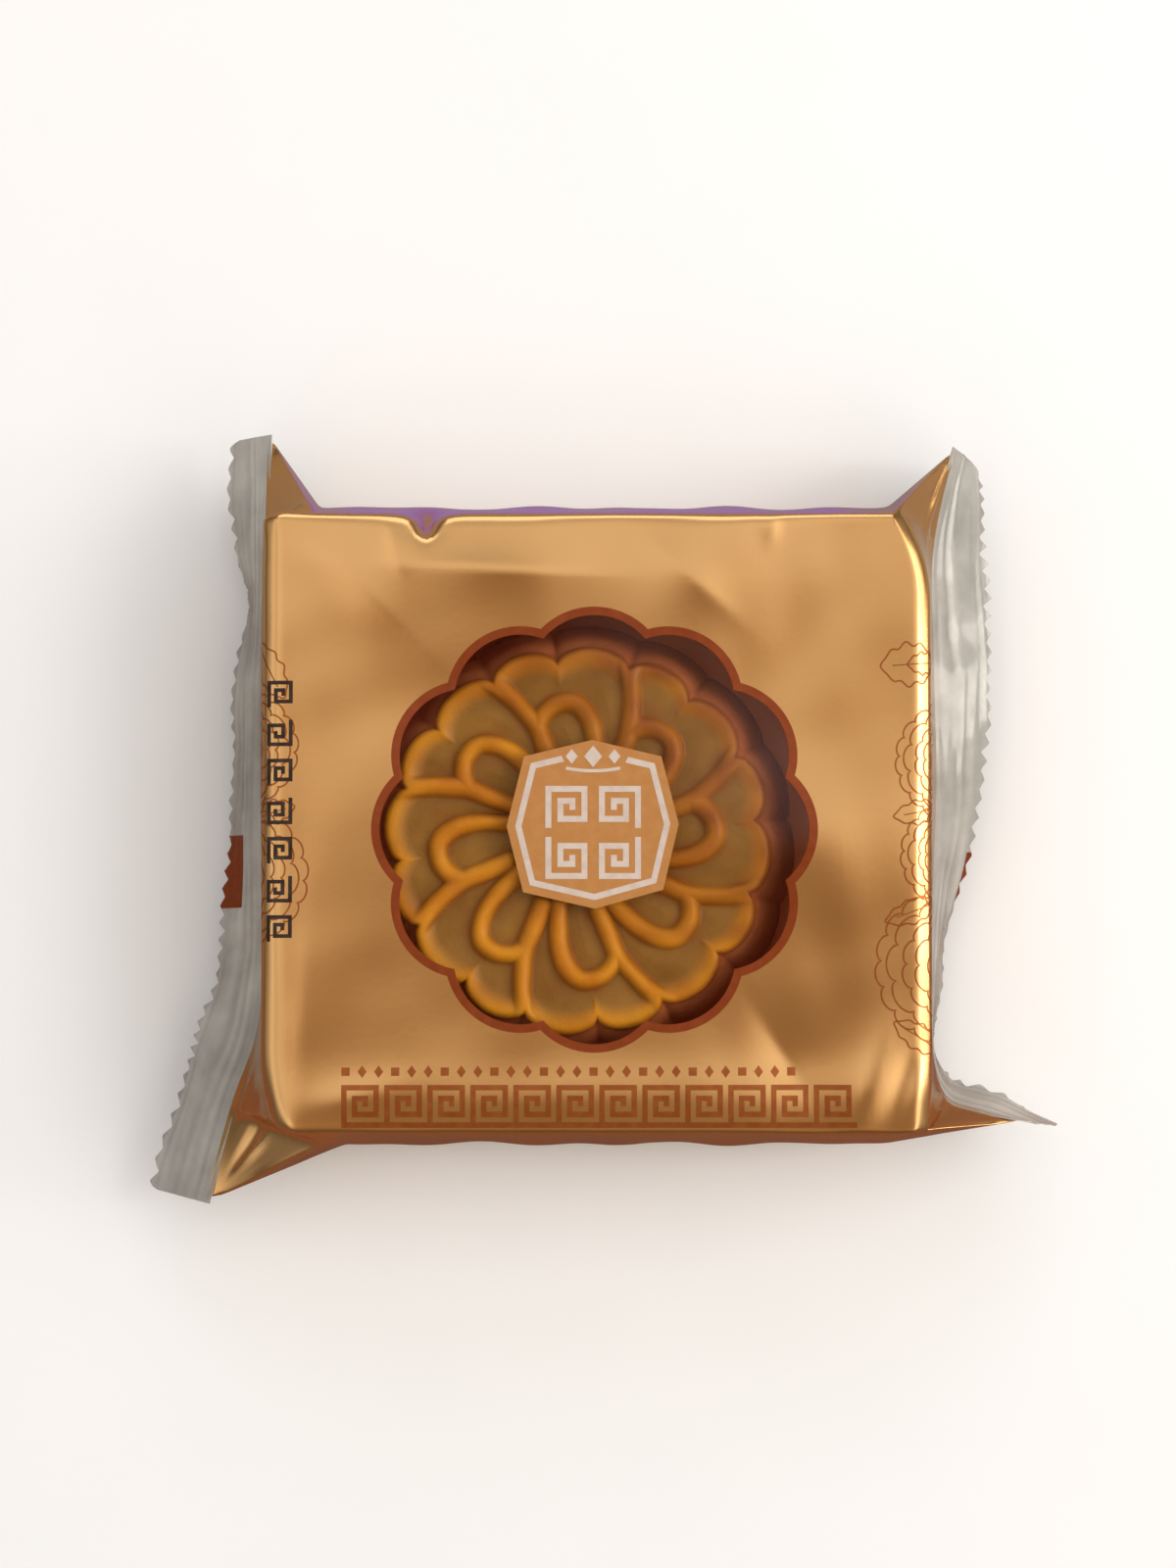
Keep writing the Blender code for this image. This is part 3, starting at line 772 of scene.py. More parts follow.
@dataclass
class Film:
    """The gold film: a tube round the cake, pinched flat at both ends, with an opening in its face.

    A column runs along the pack at one place across the flattened film, and a row runs round the tube. Near
    an end the rows follow folds. On an ear the film bends on a line from the face's long edge to the seal's
    tip, and between the ears it falls from the end of the face to the root of the seal.
    """

    height: float = 23.5
    back: float = 0.4                  # the back lies this far up, on its folded seam
    face_half: float = 37.7
    flat_half: float = 50.0
    bulge: float = 1.9
    crown: float = 0.5
    soft: float = 1.6                  # soft edge between the face and an end
    corner: float = 10.0               # stretch of the face's end over which a corner is drawn in
    ridge_end: float = 0.92            # how far towards the tip an ear's fold is followed
    root_gap: float = 0.1              # from the middle of the seal's root to either sheet
    face_end: float = 41.4             # where dents have died out
    # Height, wavelength and seed of the swells of the face.
    face_ripples: tuple[tuple[float, float, int], ...] = ((0.05, 17.0, 3), (0.02, 8.0, 5))
    pinch_x: float = -20.8             # where the far edge is pinched in
    pinch_point: float = 0.45          # rounding of the pinch's point
    pinch_reach: float = 2.2           # how far the pinch runs in from the edge
    pinch_in: float = 2.4
    pinch_down: float = 0.9
    gusset_wave: float = 0.32          # height of the wrinkles of the ears
    wave_place: float = 13.0           # their distance from the seal's tip
    wave_spread: float = 9.0
    side_swell: float = 0.22           # unevenness of the sides
    wall: float = 0.08
    square: float = 30.0               # half of the square of face that is remade round the opening
    square_cells: int = 96
    margin_cells: int = 12
    side_cells: int = 16
    back_cells: int = 30
    end_cells: tuple[int, ...] = (22, 5, 9, 6)   # root, edge, soft edge, folds, square
    patch_rings: int = 20
    rounding_passes: int = 5
    step: float = 0.25                 # of the tables that prints are laid on
    reach: float = 54.0
    tube: Array = field(init=False, repr=False)
    laid: dict[Sheet, tuple[Array, Array]] = field(init=False, repr=False, default_factory=dict)

    def __post_init__(self) -> None:
        """Work out the tube and lay out its two sheets."""
        self.tube = self.crease(self.round_folds(self.fold_tube()))
        self.laid = {sheet: self.lay_out(sheet) for sheet in Sheet}

    @property
    def middle(self) -> float:
        """Half of the pack's height, where its two sheets meet at the tips."""
        return self.height / 2

    @property
    def rows(self) -> int:
        """Number of rows of the tube."""
        return 2 * sum(self.end_cells) + self.square_cells + 1

    def columns(self, sheet: Sheet) -> Array:
        """Places across one sheet, near side first, dense and even over the square on the upper one.

        Args:
            sheet: Which sheet.

        Returns:
            The places, from the film's middle line.
        """
        side = np.linspace(self.face_half, self.flat_half, self.side_cells + 1)[1:]
        if sheet is Sheet.LOWER:
            flat = np.linspace(-self.face_half, self.face_half, self.back_cells + 1)
        else:
            margin = np.linspace(self.square, self.face_half, self.margin_cells + 1)[1:]
            centre = np.linspace(-self.square, self.square, self.square_cells + 1)
            flat = np.concatenate([-margin[::-1], centre, margin])
        return np.concatenate([-side[::-1], flat, side])

    def side_share(self, columns: Array) -> Array:
        """0 on the face or the back, growing to 1 at half height of the side."""
        return np.clip((np.abs(columns) - self.face_half) / (self.flat_half - self.face_half), 0, 1)

    def section(self, columns: Array, x: Array, sheet: Sheet) -> Array:
        """The tube's section: the flat of one sheet with half of the side at each of its ends.

        The flat falls by crown (y / half width)^6. The side goes down evenly and swells as a quarter sine.

        Args:
            columns: Places across the film.
            x: Place along the pack, for each column.
            sheet: Which sheet.

        Returns:
            One point for each column.
        """
        share = self.side_share(columns)
        across = np.clip(columns, -self.face_half, self.face_half)
        swell = self.bulge * np.sin(share * math.pi / 2) * np.sign(columns)
        fall = self.crown * (np.abs(across) / self.face_half) ** 6
        flat = self.height - fall if sheet is Sheet.UPPER else self.back + fall
        return np.stack([x, across + swell, flat + share * (self.middle - flat)], axis=-1)

    def end_lines(self, form: EndForm, columns: Array, sheet: Sheet) -> list[Array]:
        """The rows that shape one end, from the ears' folds out to the root of the seal.

        Args:
            form: The end.
            columns: Places across the film.
            sheet: Which sheet.

        Returns:
            The rows along the folds, the soft edge, the edge with the ears' ridges, and the root.
        """
        share = self.side_share(columns)
        ear = np.interp(columns, [-self.face_half, self.face_half], form.ears)
        folds = self.section(columns, form.side * ear, sheet)
        root, _, normal = seal_lines(form, columns / self.flat_half)
        root = root + normal * sheet.value * self.root_gap * (1 - share[:, None] ** 8)

        near = np.clip((self.corner - self.face_half - columns) / self.corner, 0, 1)
        far = np.clip((self.corner - self.face_half + columns) / self.corner, 0, 1)
        length = form.face - form.drawn[0] * near**2 - form.drawn[1] * far**2
        soft = self.section(columns, form.side * (length - self.soft), sheet)
        edge = self.section(columns, form.side * length, sheet)
        edge[:, 2] -= sheet.value * self.soft * 0.6

        is_far = (columns > 0)[:, None]
        corners = [int(np.argmin(np.abs(columns - place))) for place in (-self.face_half, self.face_half)]
        tip = np.where(is_far, root[-1], root[0])
        corner = np.where(is_far, folds[corners[1]], folds[corners[0]])
        waist = np.where(is_far, folds[-1], folds[0])
        along = (self.ridge_end * share)[:, None]
        blend = (share**4)[:, None]
        ridge = (1 - blend) * (corner + along * (tip - corner)) + blend * (waist + along * (tip - waist))
        on_ear = smoothstep(0.0, 0.12, share)[:, None]
        return [folds, soft + on_ear * (0.5 * (folds + ridge) - soft), edge + on_ear * (ridge - edge), root]

    def fold_tube(self) -> Array:
        """The sharp tube: both sheets' rows from the left root to the right one, with stretches divided.

        Returns:
            Points, rows along the pack by columns round it.
        """
        sheets = []
        for sheet in Sheet:
            columns = self.columns(sheet)
            left = self.end_lines(LEFT_FORM, columns, sheet)[::-1]
            right = self.end_lines(RIGHT_FORM, columns, sheet)
            flat = [
                self.section(columns, np.full(len(columns), x), sheet) for x in (-self.square, self.square)
            ]
            lines = left + flat + right
            cells = (*self.end_cells, self.square_cells, *self.end_cells[::-1])
            rows = [
                start + (np.arange(count) / count)[:, None, None] * (stop - start)
                for start, stop, count in zip(lines[:-1], lines[1:], cells)
            ]
            sheets.append(np.concatenate(rows + [lines[-1][None]]))
        upper, lower = sheets
        tube = np.concatenate([upper, lower[:, -2:0:-1]], axis=1)
        tube[:, 0] = (upper[:, 0] + lower[:, 0]) / 2
        tube[:, upper.shape[1] - 1] = (upper[:, -1] + lower[:, -1]) / 2
        return tube

    def square_slices(self) -> tuple[int, int]:
        """First row and first column of the square round the opening."""
        return sum(self.end_cells), self.side_cells + self.margin_cells

    def round_folds(self, tube: Array) -> Array:
        """Round every fold by moving each point towards its neighbours' mean, again and again.

        The square round the opening and the roots stay, and the long edges of the face stay crisper.

        Args:
            tube: Points of the tube.

        Returns:
            The tube with round folds.
        """
        row, column = self.square_slices()
        columns = self.columns(Sheet.UPPER)
        freedom = np.ones(tube.shape[:2])
        crisp = 1 - smoothstep(1.0, 3.0, np.abs(np.abs(columns) - self.face_half))
        freedom[:, :len(columns)] *= 1 - 0.65 * crisp
        freedom[row - 1:row + self.square_cells + 2, column - 1:column + self.square_cells + 2] = 0.0
        freedom[[0, -1]] = 0.0
        for _ in range(self.rounding_passes):
            along = tube.copy()
            along[1:-1] = (tube[:-2] + tube[2:]) / 2
            across = (np.roll(tube, 1, axis=1) + np.roll(tube, -1, axis=1)) / 2
            tube = tube + 0.5 * freedom[..., None] * ((across + along) / 2 - tube)
        return tube

    def crease(self, tube: Array) -> Array:
        """Add the film's dents and wrinkles.

        The face rises and falls by its dents, which die out at its edges. Its far edge is pinched in and
        down at one place, by exp(-|a|) along the edge, with a rounded point, and exp(-(b/reach)^2) in from
        it. An end moves by sin(17 angle) + 0.6 sin(31 angle) round each tip of its seal, so that wrinkles
        fan out from there, strongest a little way from the tip. The sides swell unevenly.

        Args:
            tube: Points of the tube.

        Returns:
            The creased tube.
        """
        x, y, z = tube[..., 0].copy(), tube[..., 1].copy(), tube[..., 2].copy()
        upper = np.zeros(tube.shape[:2], dtype=bool)
        upper[:, :len(self.columns(Sheet.UPPER))] = True
        dents = sum(dent.height(x, y) for dent in FACE_DENTS)
        for height, wavelength, seed in self.face_ripples:
            dents = dents + height * ripples(x, y, wavelength, seed)
        edge = smoothstep(0.0, 2.8, self.face_end - np.abs(x))
        edge = edge * smoothstep(0.0, 1.8, self.face_half + 0.6 - np.abs(y))
        tube[..., 2] += np.where(upper & (z > self.height - 3.0), dents * edge, 0.0)
        along_edge = np.hypot(x - self.pinch_x, self.pinch_point) - self.pinch_point
        pinch = np.exp(-along_edge - ((y - self.face_half) / self.pinch_reach) ** 2)
        pinch = pinch * smoothstep(self.middle + 3.0, self.height - 0.5, z) * upper
        tube[..., 1] -= self.pinch_in * pinch
        tube[..., 2] -= self.pinch_down * pinch

        for form in (LEFT_FORM, RIGHT_FORM):
            beyond = smoothstep(-0.5, 2.5, form.side * x - form.face)
            for knot in (form.seal[0], form.seal[-1]):
                away = np.stack([x, y, z], axis=-1) - knot[1]
                distance = np.linalg.norm(away, axis=-1)
                angle = np.arctan2(np.hypot(away[..., 0], away[..., 2]), np.abs(away[..., 1]) + 1e-6)
                waves = np.sin(17.0 * angle + knot[0]) + 0.6 * np.sin(31.0 * angle + 0.7)
                fade = smoothstep(0.4, 3.0, np.abs(z - self.middle)) * beyond
                near_tip = np.exp(-(((distance - self.wave_place) / self.wave_spread) ** 2))
                move = self.gusset_wave * near_tip * waves * fade
                tube[..., 0] += form.side * 0.8 * move
                tube[..., 2] += np.where(upper, 0.6, -0.6) * move

        beside = smoothstep(0.6, 2.5, np.abs(y) - self.face_half + 0.6)
        beside = beside * (1 - smoothstep(28.0, 38.0, np.abs(x)))
        tube[..., 1] += np.sign(y) * beside * self.side_swell * ripples(x, z, 13.0, 11)
        return tube

    def lay_out(self, sheet: Sheet) -> tuple[Array, Array]:
        """Tabulate one sheet at even steps of its own length and width, for prints to be laid on.

        Args:
            sheet: Which sheet.

        Returns:
            Points and outward normals, along the pack by across it.
        """
        columns = self.columns(sheet)
        if sheet is Sheet.UPPER:
            grid = self.tube[:, :len(columns)]
        else:
            grid = np.concatenate([self.tube[:, :1], self.tube[:, :-(len(columns) - 1):-1]], axis=1)
            grid = np.concatenate([grid, self.tube[:, -(len(columns) - 1):-(len(columns) - 2)]], axis=1)
        steps = np.linalg.norm(np.diff(grid, axis=0), axis=-1)
        length = np.vstack([np.zeros(steps.shape[1]), np.cumsum(steps, axis=0)])
        length = length - length[(len(length) - 1) // 2]
        along = np.arange(-self.reach, self.reach + self.step / 2, self.step)
        across = np.arange(-self.flat_half, self.flat_half + self.step / 2, self.step)
        even = np.stack([
            np.stack([
                np.interp(along, length[:, number], grid[:, number, axis]) for axis in range(3)], axis=-1)
            for number in range(len(columns))
        ], axis=1)
        first = np.clip(np.searchsorted(columns, across, side="right") - 1, 0, len(columns) - 2)
        share = ((across - columns[first]) / (columns[first + 1] - columns[first]))[None, :, None]
        points = even[:, first] * (1 - share) + even[:, first + 1] * share
        normals = unit(np.cross(np.gradient(points, axis=0), np.gradient(points, axis=1))) * sheet.value
        return points, normals

    def place(self, x: Array, y: Array, lift: float = 0.0, sheet: Sheet = Sheet.UPPER) -> Array:
        """Lay flat drawing coordinates on a sheet, which they follow over its edges.

        Each place is the bilinear mean of the four table entries round it.

        Args:
            x: Along the film, from its middle.
            y: Across the film, from its middle.
            lift: Distance outside the film.
            sheet: Which sheet.

        Returns:
            Points in space.
        """
        points, normals = self.laid[sheet]
        row = np.clip((x + self.reach) / self.step, 0, points.shape[0] - 1.001)
        column = np.clip((y + self.flat_half) / self.step, 0, points.shape[1] - 1.001)
        i, j = row.astype(int), column.astype(int)
        u, v = (row - i)[..., None], (column - j)[..., None]
        means = [
            (table[i, j] * (1 - u) + table[i + 1, j] * u) * (1 - v)
            + (table[i, j + 1] * (1 - u) + table[i + 1, j + 1] * u) * v
            for table in (points, normals)
        ]
        return means[0] + lift * unit(means[1])

    def cover(self, x: Array, y: Array, lift: float = 0.0) -> Array:
        """Points straight above or below plan coordinates of the face, at its height plus a lift.

        Args:
            x: Along the pack.
            y: Across the pack.
            lift: Distance above the face.

        Returns:
            Points in space.
        """
        points = self.place(x, y, lift)
        points[..., 0], points[..., 1] = x, y
        return points

    def build(self, window: Window, finish: bpy.types.Material) -> None:
        """Make the film: the tube's grid without the square, and rings from the square in to the opening.

        Args:
            window: The opening.
            finish: The film's material.
        """
        rows, around = self.tube.shape[:2]
        index = np.arange(rows * around).reshape(rows, around)
        row, column = self.square_slices()
        keep = np.ones((rows - 1, around), dtype=bool)
        keep[row:row + self.square_cells, column:column + self.square_cells] = False
        quads = grid_quads(index, close=True)[keep.ravel()]

        square = index[row:row + self.square_cells + 1, column:column + self.square_cells + 1]
        half = self.square_cells // 2
        border = np.concatenate([
            square[-1, half:-1], square[:0:-1, -1], square[0, :0:-1], square[:-1, 0], square[-1, :half]])
        outer = self.tube.reshape(-1, 3)[border]
        share = (np.arange(self.patch_rings) / self.patch_rings)[:, None, None]
        flat = window.outline(0.0) + share * (outer[:, :2] - window.outline(0.0))
        patch = self.cover(flat[..., 0], flat[..., 1])
        rings = rows * around + np.arange(patch.size // 3).reshape(patch.shape[:2])
        rings = np.vstack([rings, border])
        points = np.concatenate([self.tube.reshape(-1, 3), patch.reshape(-1, 3)])
        made = piece("gold_film", points, [quads, grid_quads(rings, close=True)])
        thicken(made, self.wall)
        dress(made, finish, "wrapper")


@dataclass(frozen=True)
class EndSeal:
    """One crimped end seal: both sheets melted into a ribbon with ridges along it and a zig-zag edge."""

    form: EndForm
    half_length: float = 50.0
    width: float = 10.0
    tuck: float = 0.8                  # starts this far inside the film
    tooth_pitch: float = 2.4
    tooth_depth: float = 1.15
    crimp_pitch: float = 1.65
    crimp_height: float = 0.09
    slant: float = 0.018               # ridges leave the line of the root by this slope
    glare_end: int = 1                  # end painted palest, as painted highlight
    flutter: float = 0.35
    wall: float = 0.14
    columns: int = 421
    rows: int = 52

    def reach(self, along: Array) -> Array:
        """Width at each place: a zig-zag of teeth, less at the ends, whose corners are quarter circles.

        Args:
            along: Places along the seal, from its middle.

        Returns:
            The widths.
        """
        saw = np.abs(2 * ((along / self.tooth_pitch) % 1.0) - 1)
        uneven = 1 + 0.25 * np.sin(along * 0.7 + self.form.side)
        width = self.width - self.tooth_depth * saw * uneven
        for end, radius in zip((-1, 1), self.form.tip_radius):
            inside = np.clip(radius - (self.half_length - end * along), 0, radius)
            width = width - (radius - np.sqrt(radius**2 - inside**2))
        return width

    def surface(self, along: Array, out: Array, lift: float = 0.0) -> tuple[Array, Array]:
        """Points of the seal.

        A point is root plus outward direction times its distance, moved along the normal. The crimps move it
        by half their height times a sine of 2 pi distance / pitch, whose phase and strength wander along the
        seal, plus 0.45 times a slower sine. A flutter moves it more and more towards the cut edge.

        Args:
            along: Places along the seal, in millimetres from its middle, rows by columns.
            out: Distance from the root, rows by columns.
            lift: Distance above the seal.

        Returns:
            Points, and the tone of each from 0 to 1: paler on a crimp's crest, partly as milky crimping and
            partly as painted highlight, and paler at the glare end as painted highlight.
        """
        root, direction, normal = seal_lines(self.form, (along / self.half_length).ravel())
        shape = (*along.shape, 3)
        root, direction, normal = root.reshape(shape), direction.reshape(shape), normal.reshape(shape)
        phase = 2 * math.pi * (out + self.slant * along) / self.crimp_pitch
        pressed = smoothstep(0.2, 1.4, out)
        uneven = ripples(along, 3.0 * out, 16.0, 51)
        crimp = np.sin(phase + 1.5 * uneven) * (0.5 + 0.5 * uneven)
        crimp = crimp + 0.45 * np.sin(0.41 * phase + 0.06 * along)
        share = np.clip(out / self.width, 0, 1)
        flutter = share**2 * ripples(along, 0 * along, 19.0, 21 + self.form.side)
        flutter = flutter + 0.3 * share * ripples(along, out, 7.0, 31 + self.form.side)
        height = self.crimp_height / 2 * crimp * pressed + self.flutter * flutter + lift
        # Painted highlight: the glare end is paler, and the crimps' crests are in part.
        pale = smoothstep(0.55, 0.95, self.glare_end * along / self.half_length)
        tone = np.clip(0.36 + 0.2 * crimp * pressed + 0.5 * pale, 0, 1)
        return root + direction * out[..., None] + normal * height[..., None], tone

    def build(self, finish: bpy.types.Material) -> None:
        """Make the ribbon from its tuck to its teeth.

        Args:
            finish: The piece's material.
        """
        along = np.linspace(-self.half_length, self.half_length, self.columns)
        share = np.linspace(0, 1, self.rows)[:, None]
        out = -self.tuck + share * (self.reach(along) + self.tuck)
        points, crimp = self.surface(np.broadcast_to(along, out.shape), out)
        index = np.arange(out.size).reshape(out.shape)
        if self.form.side < 0:
            index = index[::-1]
        made = piece(f"end_seal_{self.form.name}", points, [grid_quads(index)], {"crimp": crimp})
        thicken(made, self.wall, 0.0)
        dress(made, finish, "wrapper")

    def build_mark(
        self, name: str, start: float, stop: float, inner: float, finish: bpy.types.Material,
    ) -> None:
        """Make a patch of ink on the seal that runs out to the teeth.

        Args:
            name: Name of the piece.
            start: Where the patch starts along the seal, from its middle.
            stop: Where it stops.
            inner: Its distance from the root.
            finish: The ink.
        """
        along = np.arange(start, stop, 0.2)
        share = np.linspace(0, 1, 26)[:, None]
        out = inner + share * (self.reach(along) - 0.06 - inner)
        points, _ = self.surface(np.broadcast_to(along, out.shape), out, self.wall / 2 + 0.02)
        index = np.arange(out.size).reshape(out.shape)
        if self.form.side < 0:
            index = index[::-1]
        made = piece(name, points, [grid_quads(index)])
        dress(made, finish, "wrapper")


@dataclass(frozen=True)
class BackSeam:
    """The seam along the back, where the film's two long edges are crimped together and folded down flat."""

    half_width: float = 5.0
    half_length: float = 51.0
    crimp_pitch: float = 1.25
    crimp_height: float = 0.10
    lift: float = 0.2
    wall: float = 0.1

    def build(self, film: Film, finish: bpy.types.Material) -> None:
        """Make the strip on the lower sheet, with ridges along it, its far edge turned up to the film.

        Args:
            film: Film that the seam closes.
            finish: The piece's material.
        """
        along = np.arange(-self.half_length, self.half_length + 0.15, 0.3)[:, None]
        across = np.linspace(-self.half_width, self.half_width, 41)[None, :]
        x, y = np.broadcast_arrays(along, across)
        rise = self.lift + self.crimp_height / 2 * np.sin(2 * math.pi * y / self.crimp_pitch)
        rise = rise * (1 - 0.8 * smoothstep(self.half_width - 0.8, self.half_width, y))
        base = film.place(x, y, 0.0, Sheet.LOWER)
        outwards = film.place(x, y, 1.0, Sheet.LOWER) - base
        points = base + outwards * rise[..., None]
        index = np.arange(x.size).reshape(x.shape)
        made = piece("back_seam", points, [grid_quads(index[::-1])])
        thicken(made, self.wall, 0.0)
        dress(made, finish, "wrapper")


# --------------------------------------------------
# Printing
# --------------------------------------------------
RUNNING_FRET = (
    "#######.",
    "#.....#.",
    "#.###.#.",
    "#.#.#.#.",
    "#.#...#.",
    "#.#####.",
    "#.......",
    "########",
)
SQUARE_FRET = (
    "#######",
    "#.....#",
    "#.###.#",
    "#.#.#.#",
    "#.#...#",
    "#.#####",
    "#......",
)


@dataclass
class Drawing:
    """Flat shapes in drawing coordinates, gathered until they are printed on the film as one piece."""

    points: list[Array] = field(default_factory=list)
    faces: list[Array] = field(default_factory=list)

    def add(self, points: Array, faces: Array) -> None:
        """Add shapes given by their own points and faces.

        Args:
            points: Points of the shapes.
            faces: Their quads or triangles.
        """
        start = sum(len(block) for block in self.points)
        self.points.append(points.reshape(-1, 2))
        self.faces.append(faces + start)

    def cells(
        self, pattern: tuple[str, ...], corner: tuple[float, float], size: float, turn: int = 0,
    ) -> None:
        """Add a square for every mark of a pattern.

        Args:
            pattern: Rows from the top, with "#" for a mark.
            corner: Lower left corner of the pattern.
            size: Side of a cell.
            turn: Quarter turns; 4 and more are mirrored too.
        """
        marks = np.array([list(row) for row in pattern]) == "#"
        marks = np.rot90(marks, turn % 4)
        if turn > 3:
            marks = marks[:, ::-1]
        column, row = np.nonzero(marks[::-1].T)
        low = np.stack([column, row], axis=-1)[:, None] * size + corner
        corners = low + np.array([(0, 0), (1, 0), (1, 1), (0, 1)]) * size
        self.add(corners, np.arange(corners.size // 2).reshape(-1, 4))

    def stroke(self, line: Array, width: float, closed: bool = False) -> None:
        """Add a ribbon of one width along a line, with its sides square to the line's direction.

        Args:
            line: Points of the line.
            width: Width of the ribbon.
            closed: Whether the line ends where it begins.
        """
        if closed:
            line = np.vstack([line, line[:1]])
        direction = unit(np.gradient(line, axis=0))
        across = np.stack([-direction[:, 1], direction[:, 0]], axis=-1) * width / 2
        ribbon = np.stack([line - across, line + across], axis=1)
        self.add(ribbon, grid_quads(np.arange(2 * len(line)).reshape(-1, 2)))

    def lozenge(self, centre: tuple[float, float], width: float, height: float) -> None:
        """Add a lozenge."""
        corners = np.array([(-1, 0), (0, -1), (1, 0), (0, 1)]) * (width / 2, height / 2) + centre
        self.add(corners, np.array([[0, 1, 2, 3]]))

    def print_on(
        self, name: str, film: Film, ink: bpy.types.Material, lift: float = 0.04, node: str = "wrapper",
    ) -> None:
        """Lay the drawing just over the film's face and its ends, as one surface of ink.

        Args:
            name: Name of the piece.
            film: Film that is printed.
            ink: The ink.
            lift: Distance of the ink above the film.
            node: CAD node that the print belongs to.
        """
        flat = np.concatenate(self.points)
        made = piece(name, film.place(flat[:, 0], flat[:, 1], lift), self.faces)
        merge(made)
        dress(made, ink, node)


def scalloped_arc(
    centre: tuple[float, float], radius: float, start: float, stop: float, lobes: int, bulge: float,
) -> Array:
    """Line of a petal's edge: an arc whose radius swells by bulge times the root of each lobe's half sine.

    Args:
        centre: Centre of the arc.
        radius: Its radius at the notches.
        start: Where it starts, in degrees.
        stop: Where it stops.
        lobes: How many lobes share the arc.
        bulge: Height of a lobe.

    Returns:
        Points of the line, 24 to a lobe.
    """
    share = np.linspace(0, 1, 24 * lobes + 1)
    angle = np.radians(start + share * (stop - start))
    reach = radius + bulge * np.sqrt(np.abs(np.sin(math.pi * lobes * share)))
    return np.stack([centre[0] + reach * np.cos(angle), centre[1] + reach * np.sin(angle)], axis=-1)


def leaf(base: tuple[float, float], turn: float, length: float, width: float, waves: int) -> Array:
    """Closed line of a leaf: half width times sin(pi t)^0.7, wavy by 0.12 of that, out and back.

    Args:
        base: Foot of the leaf.
        turn: Direction of its tip in degrees.
        length: From foot to tip.
        width: Across its widest place.
        waves: How many waves each edge has.

    Returns:
        Points of the line.
    """
    t = np.linspace(0, 1, 16 * waves)
    half = width / 2 * np.sin(math.pi * t) ** 0.7 * (1 + 0.12 * np.sin(2 * math.pi * waves * t))
    along = np.concatenate([t, t[-2:0:-1]]) * length
    across = np.concatenate([half, -half[-2:0:-1]])
    angle = math.radians(turn)
    x = base[0] + along * math.cos(angle) - across * math.sin(angle)
    y = base[1] + along * math.sin(angle) + across * math.cos(angle)
    return np.stack([x, y], axis=-1)


